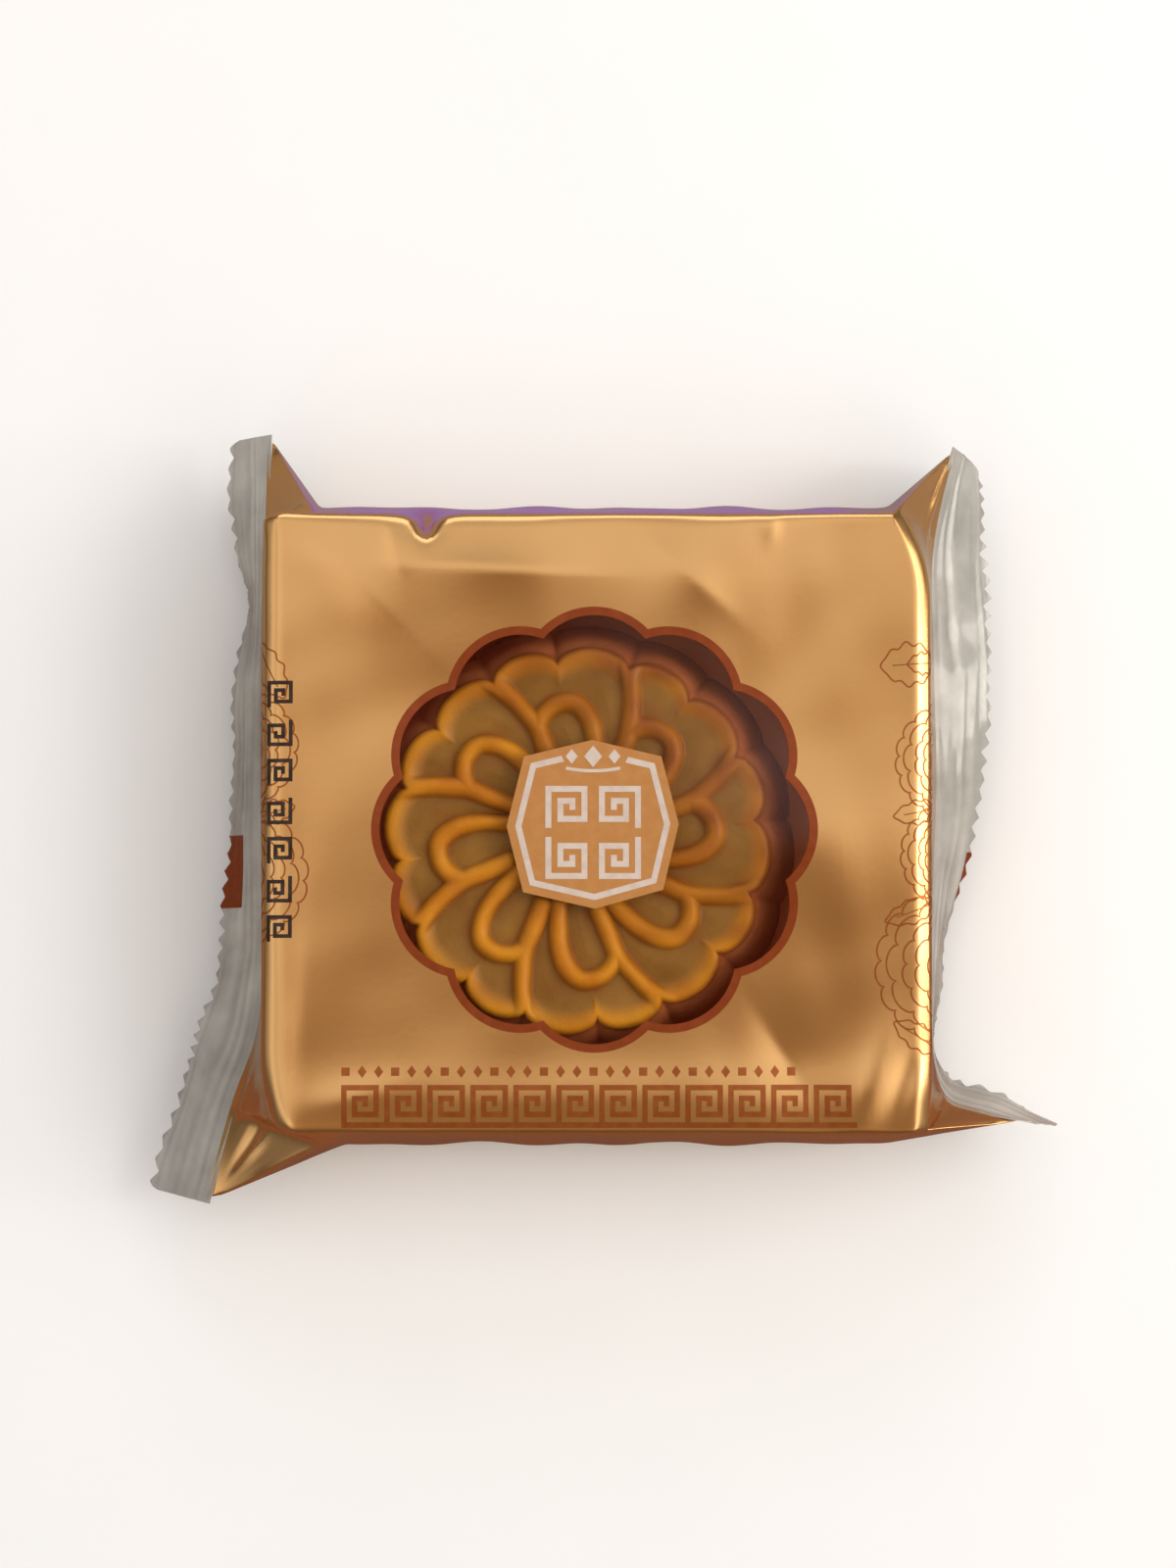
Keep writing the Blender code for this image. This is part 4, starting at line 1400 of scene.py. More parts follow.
@dataclass(frozen=True)
class Printing:
    """The pack's print: a fret band and beads below the window, side frets, line peonies and a label."""

    line: float = 0.2                  # width of a drawn line
    band_cell: float = 0.65
    band_units: int = 12
    band_corner: tuple[float, float] = (-30.9, -37.0)
    label_middle: tuple[float, float] = (-0.25, -0.5)
    label_corners: tuple[tuple[float, float], ...] = (
        (10.2, 0.3), (8.1, 8.5), (-0.3, 10.5), (-8.6, 8.5),
        (-10.7, 0.0), (-8.7, -8.0), (0.0, -10.0), (8.3, -7.7))
    label_rings: int = 16
    label_steps: int = 12
    label_wall: float = 0.08
    frame_insets: tuple[float, float] = (1.0, 1.75)
    frame_steps: int = 40
    frame_gap: float = 4.0             # half of the gap left for the crest
    label_fret_corner: tuple[float, float] = (-6.0, -6.4)
    label_fret_pitch: tuple[float, float] = (6.5, 6.2)
    label_fret_cell: float = 0.73
    crest: tuple[tuple[float, float], ...] = ((-2.6, 1.5), (0.0, 2.2), (2.6, 1.5))   # place, width
    crest_shift: float = -0.2
    crest_rise: float = 8.5
    bow_rise: float = 6.75
    bow_half: float = 3.3
    bead_start: tuple[float, float] = (-30.4, -30.2)
    bead_pitch: float = 2.0
    beads: int = 28                    # every third is a square, the others are lozenges
    bead_square: float = 1.0
    bead_lozenge: tuple[float, float] = (1.1, 1.5)
    side_fret_corner: tuple[float, float] = (-40.2, 14.0)
    side_fret_pitch: float = 4.75
    side_fret_cell: float = 0.46
    side_frets: int = 7
    flower_x: float = 43.3             # centres of the flowers, past the ends of the face
    flowers: tuple[tuple[int, float, float], ...] = (           # side of X, Y of the centre, size
        (-1, 9.0, 0.72), (-1, -6.5, 0.85), (1, 7.5, 0.72), (1, -4.0, 0.66), (1, -17.5, 0.98))
    petal_edges: tuple[tuple[float, int, float], ...] = (       # radius, lobes, their height
        (2.4, 3, 0.6), (4.2, 4, 0.8), (5.8, 6, 0.7), (7.4, 5, 1.0), (9.0, 8, 0.8))
    leaves: tuple[tuple[tuple[float, float], int, float, float], ...] = (   # foot, turn, length, width
        ((42.0, 19.5), 184, 7.5, 5.0), ((42.0, 19.5), 184, 4.2, 2.6), ((42.5, 1.8), 190, 6.6, 2.8),
        ((42.5, -28.0), 150, 7.5, 3.0), ((42.0, -9.5), 200, 7.5, 2.8),
        ((-42.0, 22.0), -60, 8.0, 3.6), ((-42.0, 0.5), 15, 5.5, 2.8))

    def build_band(self, film: Film, ink: bpy.types.Material) -> None:
        """Print the running key fret along the near edge of the face.

        Args:
            film: Film that is printed.
            ink: The ink.
        """
        drawing = Drawing()
        for unit_number in range(self.band_units):
            shift = unit_number * len(RUNNING_FRET[0]) * self.band_cell
            corner = (self.band_corner[0] + shift, self.band_corner[1])
            drawing.cells(RUNNING_FRET, corner, self.band_cell)
        drawing.print_on("fret_band", film, ink)

    def build_beads(self, film: Film, ink: bpy.types.Material) -> None:
        """Print the row of small squares and lozenges above the band.

        Args:
            film: Film that is printed.
            ink: The ink.
        """
        drawing = Drawing()
        for number in range(self.beads):
            centre = (self.bead_start[0] + number * self.bead_pitch, self.bead_start[1])
            if number % 3:
                drawing.lozenge(centre, *self.bead_lozenge)
            else:
                half = self.bead_square / 2
                drawing.cells(("#",), (centre[0] - half, centre[1] - half), self.bead_square)
        drawing.print_on("bead_row", film, ink)

    def build_side_frets(self, film: Film, ink: bpy.types.Material) -> None:
        """Print the column of dark square frets at the left edge of the face.

        Args:
            film: Film that is printed.
            ink: The ink.
        """
        drawing = Drawing()
        for number in range(self.side_frets):
            corner = (self.side_fret_corner[0], self.side_fret_corner[1] - number * self.side_fret_pitch)
            drawing.cells(SQUARE_FRET, corner, self.side_fret_cell, number % 2 * 2)
        drawing.print_on("side_frets", film, ink, 0.07)

    def build_peonies(self, film: Film, ink: bpy.types.Material) -> None:
        """Print half peonies with leaves at both ends, drawn in thin lines that run over the face's ends.

        The petals' edge of radius r runs from 105 - 2r degrees on one side of the flower's axis to 105 - 3r
        on the other, and the seven stamens are 17 degrees apart.

        Args:
            film: Film that is printed.
            ink: The ink.
        """
        drawing = Drawing()
        for side, centre_y, size in self.flowers:
            centre = (side * self.flower_x, centre_y)
            middle = 90 + side * 90
            for radius, lobes, bulge in self.petal_edges:
                start, stop = middle - 105 + 2 * radius, middle + 105 - 3 * radius
                edge = scalloped_arc(centre, radius * size, start, stop, lobes, bulge * size)
                drawing.stroke(edge, self.line)
            for turn in range(-3, 4):
                angle = math.radians(middle + 17 * turn)
                reach = np.linspace(0.5, 1.9, 8)[:, None] * size
                stamen = centre + reach * np.array([[math.cos(angle), math.sin(angle)]])
                drawing.stroke(stamen, self.line * 0.8)
        for base, turn, length, width in self.leaves:
            drawing.stroke(leaf(base, turn, length, width, 4), self.line, closed=True)
            angle = math.radians(turn)
            vein = np.linspace(0, 0.8 * length, 24)[:, None] * np.array([[math.cos(angle), math.sin(angle)]])
            drawing.stroke(base + vein, self.line * 0.7)
        drawing.print_on("line_peonies", film, ink)

    def octagon(self, inset: float, steps: int) -> Array:
        """Outline of the label, each side moved in by inset and divided into steps.

        A corner moves along its bisector by inset times (n + m) / (1 + n.m), where n and m are the normals
        of its two sides.

        Args:
            inset: Distance inside the label's edge.
            steps: Points along one side.

        Returns:
            Points, anticlockwise.
        """
        corners = np.array(self.label_corners)
        side = unit(np.roll(corners, -1, axis=0) - corners)
        inward = np.stack([-side[:, 1], side[:, 0]], axis=-1)
        before = np.roll(inward, 1, axis=0)
        corners = corners + inset * (inward + before) / (1 + np.sum(inward * before, axis=1, keepdims=True))
        share = (np.arange(steps) / steps)[None, :, None]
        ring = corners[:, None] + share * (np.roll(corners, -1, axis=0) - corners)[:, None]
        return ring.reshape(-1, 2) + self.label_middle

    def build_label(self, film: Film, field_ink: bpy.types.Material, line_ink: bpy.types.Material) -> None:
        """Print the label in the window: a tan octagon, its white frame, and frets and a crest on it.

        The crest is three lozenges over a bow, which rises by 0.03 times the square of its distance from
        the middle.

        Args:
            film: Film that is printed.
            field_ink: Ink of the octagon.
            line_ink: Ink of what is on it.
        """
        centre = self.label_middle
        edge = self.octagon(0.0, self.label_steps)
        share = (np.arange(1, self.label_rings + 1) / self.label_rings)[:, None, None]
        flat = np.concatenate([[centre], (centre + share * (edge - centre)).reshape(-1, 2)])
        rings = 1 + np.arange(self.label_rings * len(edge)).reshape(self.label_rings, len(edge))
        made = piece(
            "label", film.cover(flat[:, 0], flat[:, 1], 0.0),
            [fan(0, rings[0]), grid_quads(rings, close=True)])
        thicken(made, self.label_wall)
        dress(made, field_ink, "window")

        drawing = Drawing()
        # The frame starts and ends at the octagon's far corner, where it leaves a gap.
        outer, inner = [self.octagon(inset, self.frame_steps) for inset in self.frame_insets]
        keep = np.roll(np.arange(len(outer)), -2 * self.frame_steps)
        near_half = outer[keep, 1] < centre[1]
        keep = keep[near_half | (np.abs(outer[keep, 0] - centre[0]) > self.frame_gap)]
        ribbon = np.stack([outer[keep], inner[keep]], axis=1)
        drawing.add(ribbon, grid_quads(np.arange(2 * len(keep)).reshape(-1, 2)))
        for column, row, turn in ((0, 1, 0), (1, 1, 4), (0, 0, 6), (1, 0, 2)):
            corner = (
                centre[0] + self.label_fret_corner[0] + self.label_fret_pitch[0] * column,
                centre[1] + self.label_fret_corner[1] + self.label_fret_pitch[1] * row)
            drawing.cells(SQUARE_FRET, corner, self.label_fret_cell, turn)
        crest_x = centre[0] + self.crest_shift
        for shift, width in self.crest:
            drawing.lozenge((crest_x + shift, centre[1] + self.crest_rise), width, 1.2 * width)
        bow = np.linspace(-self.bow_half, self.bow_half, 24)
        line = np.stack([crest_x + bow, centre[1] + self.bow_rise + 0.03 * bow**2], axis=-1)
        drawing.stroke(line, 2 * self.line)
        drawing.print_on("label_lines", film, line_ink, 0.02, "window")


# --------------------------------------------------
# The cake and the inside of the pack
# --------------------------------------------------
@dataclass(frozen=True)
class Mooncake:
    """The cake: a fluted drum with eight swirling petals moulded on its top as rounded ridges."""

    centre: tuple[float, float] = (-2.4, -2.2)
    base_z: float = 1.6
    crest_z: float = 22.1
    relief: float = 1.2
    base_radius: float = 26.2
    base_edge: float = 1.2             # rounding of the base's edge
    waist_radius: float = 27.2
    flute: float = 0.9
    petals: int = 8
    turn: float = 4.5                  # degrees
    rim_lobe: float = 23.8
    rim_notch: float = 21.8
    rim_notches: tuple[float, float, float] = (-21.5, 2.0, 23.5)
    shoulder: float = 0.95             # from the rim ridge's crest out to the flank
    ridge_half: float = 1.25
    lip_half: float = 2.3              # the rim's lip is broader and lower than the ridges
    lip_relief: float = 0.8
    edge_line: tuple[tuple[float, float], ...] = (
        (8.7, 12.0), (11.8, 14.1), (14.7, 14.9), (17.5, 18.1), (19.9, 21.0), (23.1, 25.0))
    loop_line: tuple[tuple[float, float], ...] = (
        (8.0, -20.0), (12.0, -15.2), (14.7, -10.9), (16.4, -5.9),
        (17.0, -1.0), (16.8, 5.2), (15.9, 10.8), (14.8, 14.4))
    columns: int = 560
    rings: int = 108
    flank_rings: int = 24

    @property
    def fields_z(self) -> float:
        """Height of the fields between the ridges."""
        return self.crest_z - self.relief

    def rim_radius(self, angle: Array) -> Array:
        """Outline of the top: two lobes to a petal, each the square root of a half sine between notches.

        Args:
            angle: Degrees from a petal's axis.

        Returns:
            Radius at each angle.
        """
        period = 360 / self.petals
        first, middle, last = self.rim_notches
        local = (angle - first) % period + first
        start = np.where(local < middle, first, middle)
        stop = np.where(local < middle, middle, last)
        half_sine = np.sin(math.pi * (local - start) / (stop - start))
        return self.rim_notch + (self.rim_lobe - self.rim_notch) * np.sqrt(np.abs(half_sine) + 1e-4)

    @staticmethod
    def distance(x: Array, y: Array, line: tuple[tuple[float, float], ...]) -> Array:
        """Shortest distance from each point to a smooth line through polar knots.

        Args:
            x: Along the petal's axis.
            y: Across it.
            line: Knots of the line as radius and degrees.

        Returns:
            The distances.
        """
        knots = np.array([(r * math.cos(math.radians(a)), r * math.sin(math.radians(a))) for r, a in line])
        numbers = np.arange(len(knots), dtype=float)
        smooth = smooth_curve(numbers, knots, np.linspace(0, len(knots) - 1, 5 * len(knots)))
        best = np.full(x.shape, 1e9)
        for start, step in zip(smooth[:-1], np.diff(smooth, axis=0)):
            along = ((x - start[0]) * step[0] + (y - start[1]) * step[1]) / np.dot(step, step)
            along = np.clip(along, 0, 1)
            best = np.minimum(best, np.hypot(x - start[0] - along * step[0], y - start[1] - along * step[1]))
        return best

    def ridge_distance(self, radius: Array, angle: Array) -> Array:
        """Distance from each point of the top to the nearest ridge of a petal.

        Args:
            radius: From the cake's axis.
            angle: Degrees from a petal's axis.

        Returns:
            The distances.
        """
        period = 360 / self.petals
        local = (angle + period / 2) % period - period / 2
        best = np.full(radius.shape, 1e9)
        for shift in (-period, 0.0, period):
            x = radius * np.cos(np.radians(local + shift))
            y = radius * np.sin(np.radians(local + shift))
            best = np.minimum(best, self.distance(x, y, self.edge_line))
            best = np.minimum(best, self.distance(x, y, self.loop_line))
        return best

    def top(self, angle: Array, rim: Array) -> tuple[Array, Array, Array, Array]:
        """Work out the top, ring by ring from near the middle to the rim's crest.

        It stands relief (1 - (d/w)^2)^0.8 high at distance d from a ridge of half width w, rises to the
        rim's lip by a squared cosine, and its fields are slightly domed. It is darkened along the foot of
        the ridges as painted shade, and on the high parts of its far side partly as deeper baking and partly
        as painted shade.

        Args:
            angle: Degrees of each column from a petal's axis.
            rim: Outline of the top at each column.

        Returns:
            Radius, height, how far each point is ridge, and its darkening by baking and painted shade,
            rings by columns.
        """
        mean_crest = (self.rim_notch + self.rim_lobe) / 2 - self.shoulder
        share = (np.arange(1, self.rings + 1) / self.rings)[:, None]
        lobed = smoothstep(0.45, 1.0, share)
        radius = share * (mean_crest + lobed * (rim - self.shoulder - mean_crest))
        angles = np.broadcast_to(angle, radius.shape)

        turned = np.radians(angles + self.turn)
        x, y = radius * np.cos(turned), radius * np.sin(turned)
        uneven = ripples(x, y, 9.0, 41)
        distance = self.ridge_distance(radius, angles)
        width = self.ridge_half * (1 + 0.07 * uneven)
        cord = np.clip(1 - (distance / width) ** 2, 0, 1)
        cord = np.maximum(cord, smoothstep(3.5, 1.0, radius))
        inside = rim - self.shoulder - radius
        lip = np.cos(np.clip(inside / self.lip_half, 0, 1) * math.pi / 2) ** 2
        dome = 0.25 * smoothstep(0.0, 2.6, distance - width)
        low = dome + (self.lip_relief - dome) * lip
        z = self.fields_z + low + (self.relief - low) * cord**0.8 + 0.06 * uneven * (1 - cord)
        z = np.minimum(z, self.crest_z)

        # Painted shade along the ridges' feet; the far side's browning is partly painted shade.
        foot = np.exp(-(((distance - width) / 0.35) ** 2)) * (1 - lip)
        far_side_baking_and_shade = smoothstep(-12.0, 22.0, 0.75 * x + 0.65 * y)
        high = np.maximum(cord, 0.85 * lip)
        brown = np.clip(0.45 * foot + 0.8 * far_side_baking_and_shade * high + 0.12 * ripples(x, y, 5.0, 43), 0, 0.85)
        return radius, z, np.maximum(cord**0.5, 0.9 * lip), brown

    def flank(self, rim: Array, start_z: Array) -> Array:
        """Work out the fluted flank, whose radius and height run smoothly through five rings.

        Args:
            rim: Outline of the top at each column.
            start_z: Height of the shoulder's foot at each column.

        Returns:
            Rings, each with a row of radii and a row of heights.
        """
        flutes = self.flute * ((rim - self.rim_notch) / (self.rim_lobe - self.rim_notch) - 1)
        waist = self.waist_radius + flutes
        base = self.base_radius + flutes
        height = self.fields_z - self.base_z
        knots = np.stack([
            np.stack([rim, start_z]),
            np.stack([0.45 * rim + 0.55 * waist, np.full_like(rim, self.fields_z - 0.16 * height)]),
            np.stack([waist, np.full_like(rim, self.base_z + 0.5 * height)]),
            np.stack([base, np.full_like(rim, self.base_z + 0.08 * height)]),
            np.stack([base - self.base_edge, np.full_like(rim, self.base_z)]),
        ])
        places = np.linspace(0, len(knots) - 1, self.flank_rings + 1)[1:]
        rings = smooth_curve(np.arange(len(knots), dtype=float), knots.reshape(len(knots), -1), places)
        rings = rings.reshape(self.flank_rings, 2, self.columns)
        rings[:, 1] = np.maximum(rings[:, 1], self.base_z)
        return rings

    def build(self, finish: bpy.types.Material) -> None:
        """Make the cake: the top, the round shoulder, the fluted flank and the base.

        Args:
            finish: The piece's material.
        """
        angle = np.arange(self.columns) * 360 / self.columns
        rim = self.rim_radius(angle)
        radius, z, ridge, brown = self.top(angle, rim)

        # The shoulder is a quarter circle from the rim's crest out to the flank.
        quarter = np.linspace(0, math.pi / 2, 9)[1:, None]
        shoulder_radius = rim - self.shoulder + self.shoulder * np.sin(quarter)
        shoulder_z = z[-1] - self.shoulder * (1 - np.cos(quarter))
        shoulder_share = np.broadcast_to(quarter / (math.pi / 2), shoulder_radius.shape)
        flank = self.flank(rim, z[-1] - self.shoulder)
        inward = np.array([0.66, 0.33])[:, None] * flank[-1, 0]

        all_radius = np.vstack([radius, shoulder_radius, flank[:, 0], inward])
        all_z = np.vstack([z, shoulder_z, flank[:, 1], np.full_like(inward, self.base_z)])
        rest = np.ones((len(flank) + 2, self.columns))
        all_angle = np.radians(angle + self.turn)
        points = np.stack([
            self.centre[0] + all_radius * np.cos(all_angle),
            self.centre[1] + all_radius * np.sin(all_angle), all_z], axis=-1)
        middle = np.array([[*self.centre, self.crest_z], [*self.centre, self.base_z]])
        index = 2 + np.arange(all_radius.size).reshape(all_radius.shape)
        # The `brown` attribute carries the top's baking and painted shade, then the shoulder's browning.
        attributes = {
            "ridge": np.vstack([ridge, np.ones_like(shoulder_radius), 0 * rest]),
            "side": np.vstack([0 * ridge, 0.6 * smoothstep(0.4, 1.0, shoulder_share), rest]),
            "brown": np.vstack([brown, np.clip(brown[-1] + 0.5 * shoulder_share, 0, 1), rest]),
        }
        ends = {"ridge": (1.0, 0.0), "side": (0.0, 1.0), "brown": (0.0, 1.0)}
        attributes = {key: np.concatenate([ends[key], values.ravel()]) for key, values in attributes.items()}
        faces = [fan(0, index[0]), grid_quads(index, close=True), fan(1, index[-1][::-1])]
        made = piece("mooncake_crust", np.concatenate([middle, points.reshape(-1, 3)]), faces, attributes)
        dress(made, finish, "mooncake")


@dataclass(frozen=True)
class Lining:
    """The inside of the pack round the cake, seen dark through the window."""

    centre: tuple[float, float] = (-1.5, -1.6)
    radius: float = 29.4
    floor_z: float = 1.2
    top_z: float = 22.5
    wall: float = 0.2

    def build(self, finish: bpy.types.Material) -> None:
        """Make a cup: rings across its floor and up its wall, which is rounded at the foot.

        Args:
            finish: The piece's material.
        """
        turn = np.linspace(0, 2 * math.pi, 192, endpoint=False)
        knots = np.array([(0.4, 0.0), (0.8, 0.0), (0.965, 0.0), (1.0, 0.05), (1.0, 0.5), (1.0, 1.0)])
        profile = smooth_curve(np.arange(6.0), knots, np.linspace(0, 5, 31))
        radius = self.radius * np.minimum(profile[:, :1], 1.0)
        z = self.floor_z + (self.top_z - self.floor_z) * np.clip(profile[:, 1:], 0, 1)
        points = np.stack([
            self.centre[0] + radius * np.cos(turn), self.centre[1] + radius * np.sin(turn),
            np.broadcast_to(z, (len(z), len(turn)))], axis=-1)
        index = 1 + np.arange(points.size // 3).reshape(points.shape[:2])
        middle = np.array([[*self.centre, self.floor_z]])
        made = piece(
            "pack_lining", np.concatenate([middle, points.reshape(-1, 3)]),
            [fan(0, index[0]), grid_quads(index, close=True)])
        thicken(made, self.wall)
        dress(made, finish, "wrapper")


# --------------------------------------------------
# Studio
# --------------------------------------------------
@dataclass(frozen=True)
class Studio:
    """A pale floor, soft light from above, the right and the far side, and a camera looking nearly down."""

    aim: tuple[float, float, float] = (-1.07, 4.64, 23.5)   # mm
    distance: float = 400.0                                  # mm
    elevation: float = 87.5                                  # degrees
    lens: float = 75.6
    sensor: float = 36.0
    floor_half: float = 3000.0                               # mm
    # The violet strip is part of the floor's painted reflection, seen only by glossy rays.
    violet_start: tuple[float, float] = (40.0, 52.0)         # mm beyond the middle, where it fades in
    violet_stop: tuple[float, float] = (60.0, 75.0)          # mm, where it fades out
    violet_ends: tuple[float, float] = (30.0, 40.0)          # mm out from the middle to either side

    def build_floor(self) -> None:
        """Make the floor: one large square of matt pale board, which shows glossy rays a painted reflection.
        """
        made, tree = blank_material("Matt white card with painted reflection")
        place = add_node(tree, "ShaderNodeTexCoord").outputs["Object"]
        # Card is evenly white. A trace of mottle, some 17 mm across, keeps it from looking drawn.
        mottle = add_node(tree, "ShaderNodeTexNoise", {"Vector": place, "Scale": 60.0, "Detail": 3.0})
        card = add_node(tree, "ShaderNodeMix", {
            "Factor": mottle.outputs["Fac"], 6: linear("#F5F7F9"), 7: linear("#F9FAFC")}, data_type="RGBA")
        shader = add_node(tree, "ShaderNodeBsdfPrincipled", {
            "Base Color": card.outputs[2], "Roughness": 0.9, "Specular IOR Level": 0.1})
        # Painted reflection: glossy rays see a dimmer table than the card, browner on the near side,
        # which keeps the film's sides deep in colour, and a strip of violet beyond the far side.
        parts = add_node(tree, "ShaderNodeSeparateXYZ", {"Vector": place})
        near = add_node(tree, "ShaderNodeMapRange", {
            "Value": parts.outputs["Y"], "From Min": -0.04, "From Max": 0.04})
        painted_reflection_table = add_node(tree, "ShaderNodeMix", {
            "Factor": near.outputs["Result"], 6: linear("#8A6252"), 7: linear("#A39A90")}, data_type="RGBA")
        beyond = add_node(tree, "ShaderNodeMapRange", {
            "Value": parts.outputs["Y"],
            "From Min": self.violet_start[0] * MM, "From Max": self.violet_start[1] * MM})
        within = add_node(tree, "ShaderNodeMapRange", {
            "Value": parts.outputs["Y"],
            "From Min": self.violet_stop[0] * MM, "From Max": self.violet_stop[1] * MM,
            "To Min": 1.0, "To Max": 0.0})
        strip = add_node(tree, "ShaderNodeMath", {
            0: beyond.outputs["Result"], 1: within.outputs["Result"]}, operation="MULTIPLY")
        out_from_middle = add_node(tree, "ShaderNodeMath", {0: parts.outputs["X"]}, operation="ABSOLUTE")
        ends = add_node(tree, "ShaderNodeMapRange", {
            "Value": out_from_middle.outputs[0],
            "From Min": self.violet_ends[0] * MM, "From Max": self.violet_ends[1] * MM,
            "To Min": 1.0, "To Max": 0.0})
        violet = add_node(tree, "ShaderNodeMath", {
            0: strip.outputs[0], 1: ends.outputs["Result"]}, operation="MULTIPLY")
        tint = add_node(tree, "ShaderNodeMix", {
            "Factor": violet.outputs[0], 6: painted_reflection_table.outputs[2], 7: linear("#9C84FF")}, data_type="RGBA")
        table = add_node(tree, "ShaderNodeBsdfDiffuse", {"Color": tint.outputs[2]})
        # Painted reflection: the camera sees the white card, glossy rays see the dim table and violet strip.
        rays = add_node(tree, "ShaderNodeLightPath")
        board = add_node(tree, "ShaderNodeMixShader", {
            0: rays.outputs["Is Glossy Ray"], 1: shader.outputs[0], 2: table.outputs[0]})
        add_node(tree, "ShaderNodeOutputMaterial", {"Surface": board.outputs[0]})
        half = self.floor_half
        corners = np.array([(-half, -half, 0.0), (half, -half, 0.0), (half, half, 0.0), (-half, half, 0.0)])
        floor = piece("floor_card", corners, [np.array([[0, 1, 2, 3]])])
        floor.data.materials.append(made)

    @staticmethod
    def build_world() -> None:
        """Light everything from a soft dome.

        Its strength grows with the product of six shares. It is dimmer overhead and at the horizon, far out
        on the left and far sides, and round one place on the near side, and brighter off to both sides.
        """
        world = bpy.data.worlds.new("Soft dome")
        bpy.context.scene.world = world
        world.use_nodes = True
        tree = world.node_tree
        tree.nodes.clear()
        direction = add_node(tree, "ShaderNodeTexCoord").outputs["Generated"]
        parts = add_node(tree, "ShaderNodeSeparateXYZ", {"Vector": direction})
        rise = add_node(tree, "ShaderNodeMapRange", {
            "Value": parts.outputs["Z"], "From Min": 0.1, "From Max": 0.8}, interpolation_type="SMOOTHSTEP")
        top = add_node(tree, "ShaderNodeMapRange", {
            "Value": parts.outputs["Z"], "From Min": 0.6, "From Max": 0.9,
            "To Min": 1.5, "To Max": 0.8}, interpolation_type="SMOOTHSTEP")
        aside = add_node(tree, "ShaderNodeMath", {0: parts.outputs["X"]}, operation="ABSOLUTE")
        across = add_node(tree, "ShaderNodeMapRange", {
            "Value": aside.outputs[0], "From Min": 0.15, "From Max": 0.4,
            "To Min": 0.95, "To Max": 1.35}, interpolation_type="SMOOTHSTEP")
        left = add_node(tree, "ShaderNodeMapRange", {
            "Value": parts.outputs["X"], "From Min": -0.55, "From Max": -0.25,
            "To Min": 0.5, "To Max": 1.0}, interpolation_type="SMOOTHSTEP")
        far = add_node(tree, "ShaderNodeMapRange", {
            "Value": parts.outputs["Y"], "From Min": 0.4, "From Max": 0.65,
            "To Min": 1.0, "To Max": 0.4}, interpolation_type="SMOOTHSTEP")
        # Somebody leans over the pack from the near side. They keep off the light between there and a place
        # just short of overhead, and are a warm brown themselves.
        short_of = add_node(tree, "ShaderNodeMath", {0: parts.outputs["Y"], 1: -0.26}, operation="MAXIMUM")
        plan = add_node(tree, "ShaderNodeCombineXYZ", {"X": parts.outputs["X"], "Y": short_of.outputs[0]})
        leaning = add_node(tree, "ShaderNodeVectorMath", {
            0: plan.outputs[0], 1: (0.0, -0.26, 0.0)}, operation="DISTANCE")
        clear_of = add_node(tree, "ShaderNodeMapRange", {
            "Value": leaning.outputs["Value"], "From Min": 0.1, "From Max": 0.5,
        }, interpolation_type="SMOOTHSTEP")
        along = add_node(tree, "ShaderNodeMapRange", {
            "Value": clear_of.outputs["Result"], "To Min": 0.22, "To Max": 1.15})
        tone = add_node(tree, "ShaderNodeMix", {
            "Factor": clear_of.outputs["Result"], 6: linear("#FFD29E"), 7: linear("#FFFCF8"),
        }, data_type="RGBA")
        shaded = rise.outputs[0]
        for share in (top, across, along, left, far):
            shaded = add_node(tree, "ShaderNodeMath", {
                0: shaded, 1: share.outputs[0]}, operation="MULTIPLY").outputs[0]
        strength = add_node(tree, "ShaderNodeMapRange", {
            "Value": shaded, "From Max": 2.0, "To Min": 0.12, "To Max": 1.9})
        light = add_node(tree, "ShaderNodeBackground", {
            "Color": tone.outputs[2], "Strength": strength.outputs["Result"]})
        add_node(tree, "ShaderNodeOutputWorld", {"Surface": light.outputs[0]})

    @staticmethod
    def add_light(
        name: str, place: tuple[float, float, float], size: tuple[float, float], watts: float, colour: str,
    ) -> None:
        """Hang one soft rectangular light that faces the pack.

        Args:
            name: Name of the light.
            place: Where it hangs, in millimetres.
            size: Its width and height, in millimetres.
            watts: Its power.
            colour: Its sRGB colour.
        """
        data = bpy.data.lights.new(name, "AREA")
        data.shape = "RECTANGLE"
        data.size, data.size_y = size[0] * MM, size[1] * MM
        data.energy = watts
        data.color = linear(colour)[:3]
        light = bpy.data.objects.new(name, data)
        light.location = Vector(place) * MM
        light.rotation_euler = (Vector((0, 0, 10)) * MM - light.location).to_track_quat("-Z", "Y").to_euler()
        bpy.context.scene.collection.objects.link(light)

    def build_camera(self) -> None:
        """Put the camera over the near side of the pack, aimed at the middle of what it shows."""
        lift = math.radians(self.elevation)
        aim = Vector(self.aim) * MM
        data = bpy.data.cameras.new("Camera")
        data.lens = self.lens
        data.sensor_width = self.sensor
        data.dof.use_dof = False
        camera = bpy.data.objects.new("Camera", data)
        camera.location = aim + Vector((0.0, -math.cos(lift), math.sin(lift))) * self.distance * MM
        camera.rotation_euler = (math.pi / 2 - lift, 0.0, 0.0)
        bpy.context.scene.collection.objects.link(camera)
        bpy.context.scene.camera = camera

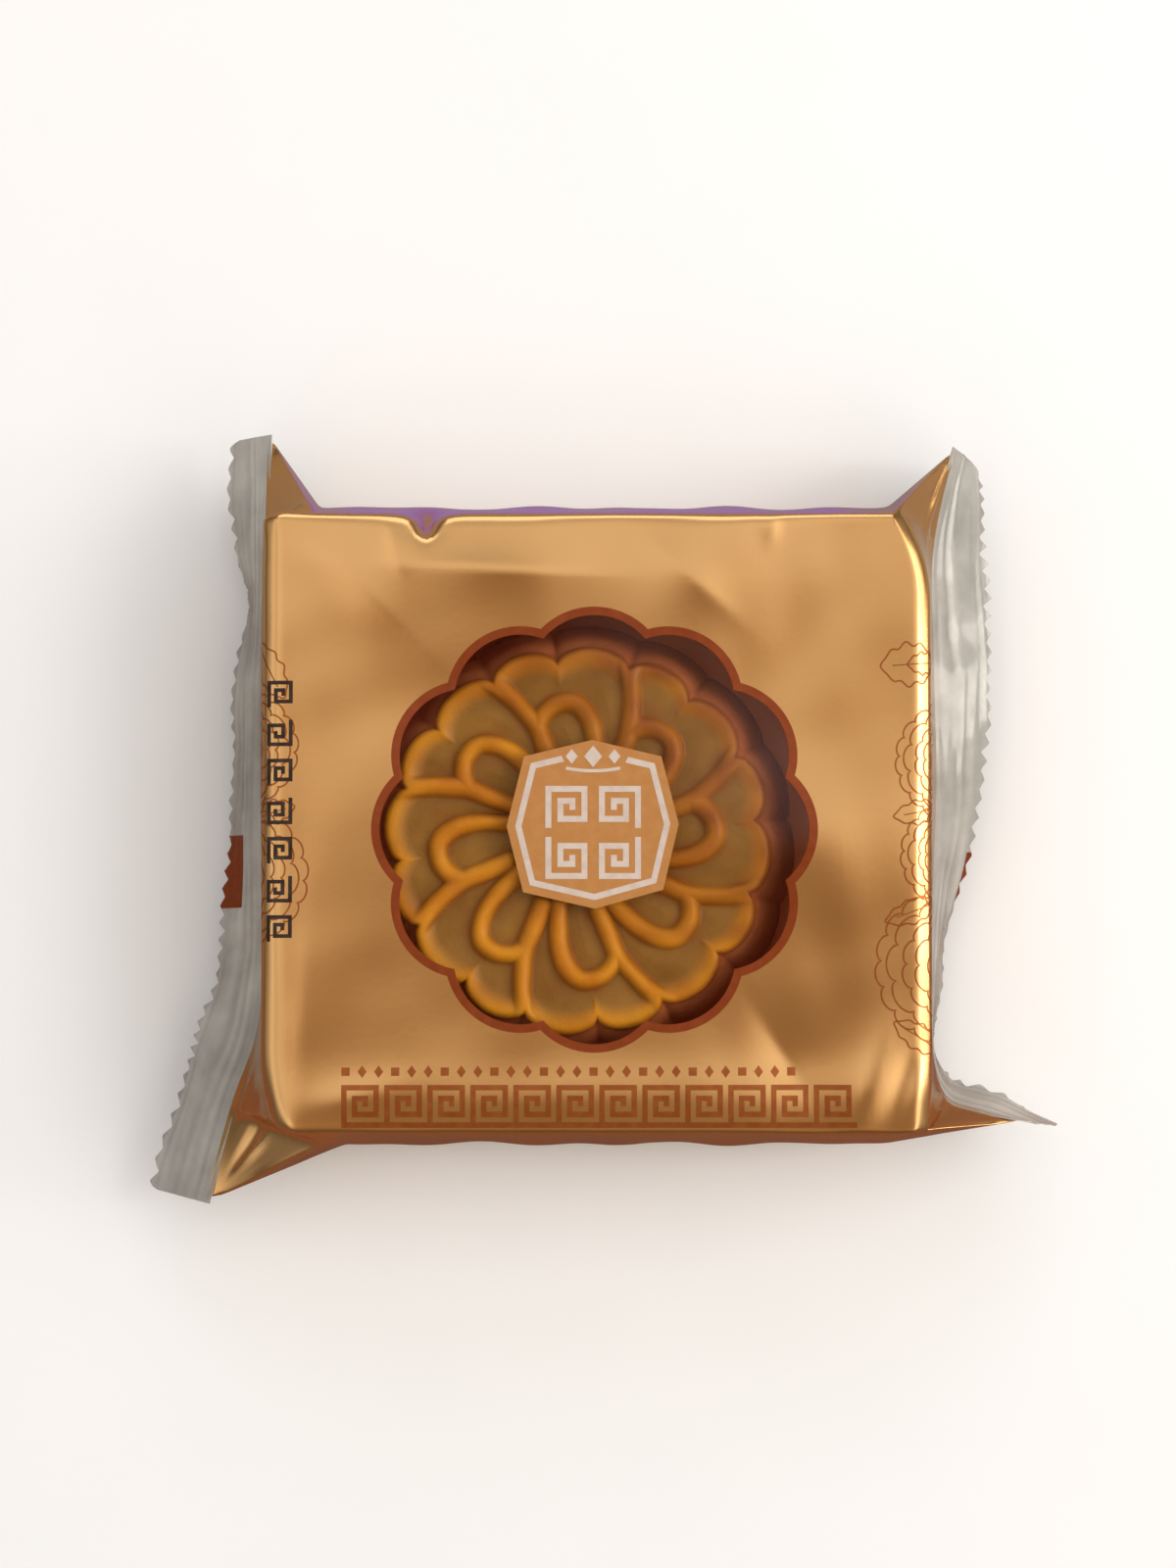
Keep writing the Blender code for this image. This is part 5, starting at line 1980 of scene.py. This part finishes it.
    def build(self) -> None:
        """Set up the floor, the lights and the camera."""
        self.build_floor()
        self.build_world()
        self.add_light("Right low softbox", (640.0, 20.0, 330.0), (120.0, 700.0), 1.5, "#FFF8EE")
        self.add_light("Key softbox", (760.0, 260.0, 560.0), (450.0, 500.0), 1.5, "#FFFAF2")
        self.add_light("Far low softbox", (0.0, 900.0, 430.0), (900.0, 520.0), 2.3, "#F2F5FF")
        self.build_camera()
        bpy.context.scene.view_settings.view_transform = "Standard"


# --------------------------------------------------
# Assembly
# --------------------------------------------------
def main() -> None:
    """Build every sub-assembly in order, then the studio."""
    gold = MetallisedFilm("Gold metallised polypropylene film").build()
    inside = MetallisedFilm(
        "Inner face of metallised film", light="#EE9560", deep="#DC8450",
        metallic=0.8, roughness=0.45, coat=0.0,
    ).build()
    crimped = CrimpedFilm().build()
    pane = PaneFilm().build()
    brown = GravureInk("Brown gravure ink", "#9A5222", "#A8602C", metallic=0.6).build()
    dark_brown = GravureInk("Dark brown gravure ink", "#8A3A0E", "#944418", metallic=0.45).build()
    black = GravureInk("Black gravure ink", "#2A1C15", "#40302A", metallic=0.0, gloss=0.25).build()
    tan = GravureInk(
        "Tan gravure ink", "#B77E46", "#BE8650", metallic=0.0, roughness=0.5, gloss=0.15).build()
    white = GravureInk(
        "White gravure ink", "#D3C2B6", "#C6B3A4", metallic=0.0, roughness=0.5, gloss=0.15).build()

    film = Film()
    window = Window()
    film.build(window, gold)
    window.build_pane(film, pane)
    window.build_border(film, dark_brown)
    left = EndSeal(LEFT_FORM)
    right = EndSeal(RIGHT_FORM, crimp_pitch=2.3, crimp_height=0.2, slant=0.035, glare_end=-1)
    left.build(crimped)
    right.build(crimped)
    left.build_mark("eye_mark_left", start=-11.2, stop=-1.1, inner=5.0, finish=dark_brown)
    right.build_mark("eye_mark_right", start=-10.0, stop=-3.0, inner=8.6, finish=dark_brown)
    BackSeam().build(film, gold)

    printing = Printing()
    printing.build_band(film, brown)
    printing.build_beads(film, brown)
    printing.build_side_frets(film, black)
    printing.build_peonies(film, brown)
    printing.build_label(film, tan, white)

    Mooncake().build(BakedCrust().build())
    Lining().build(inside)
    Studio().build()


if __name__ == "__main__":
    main()
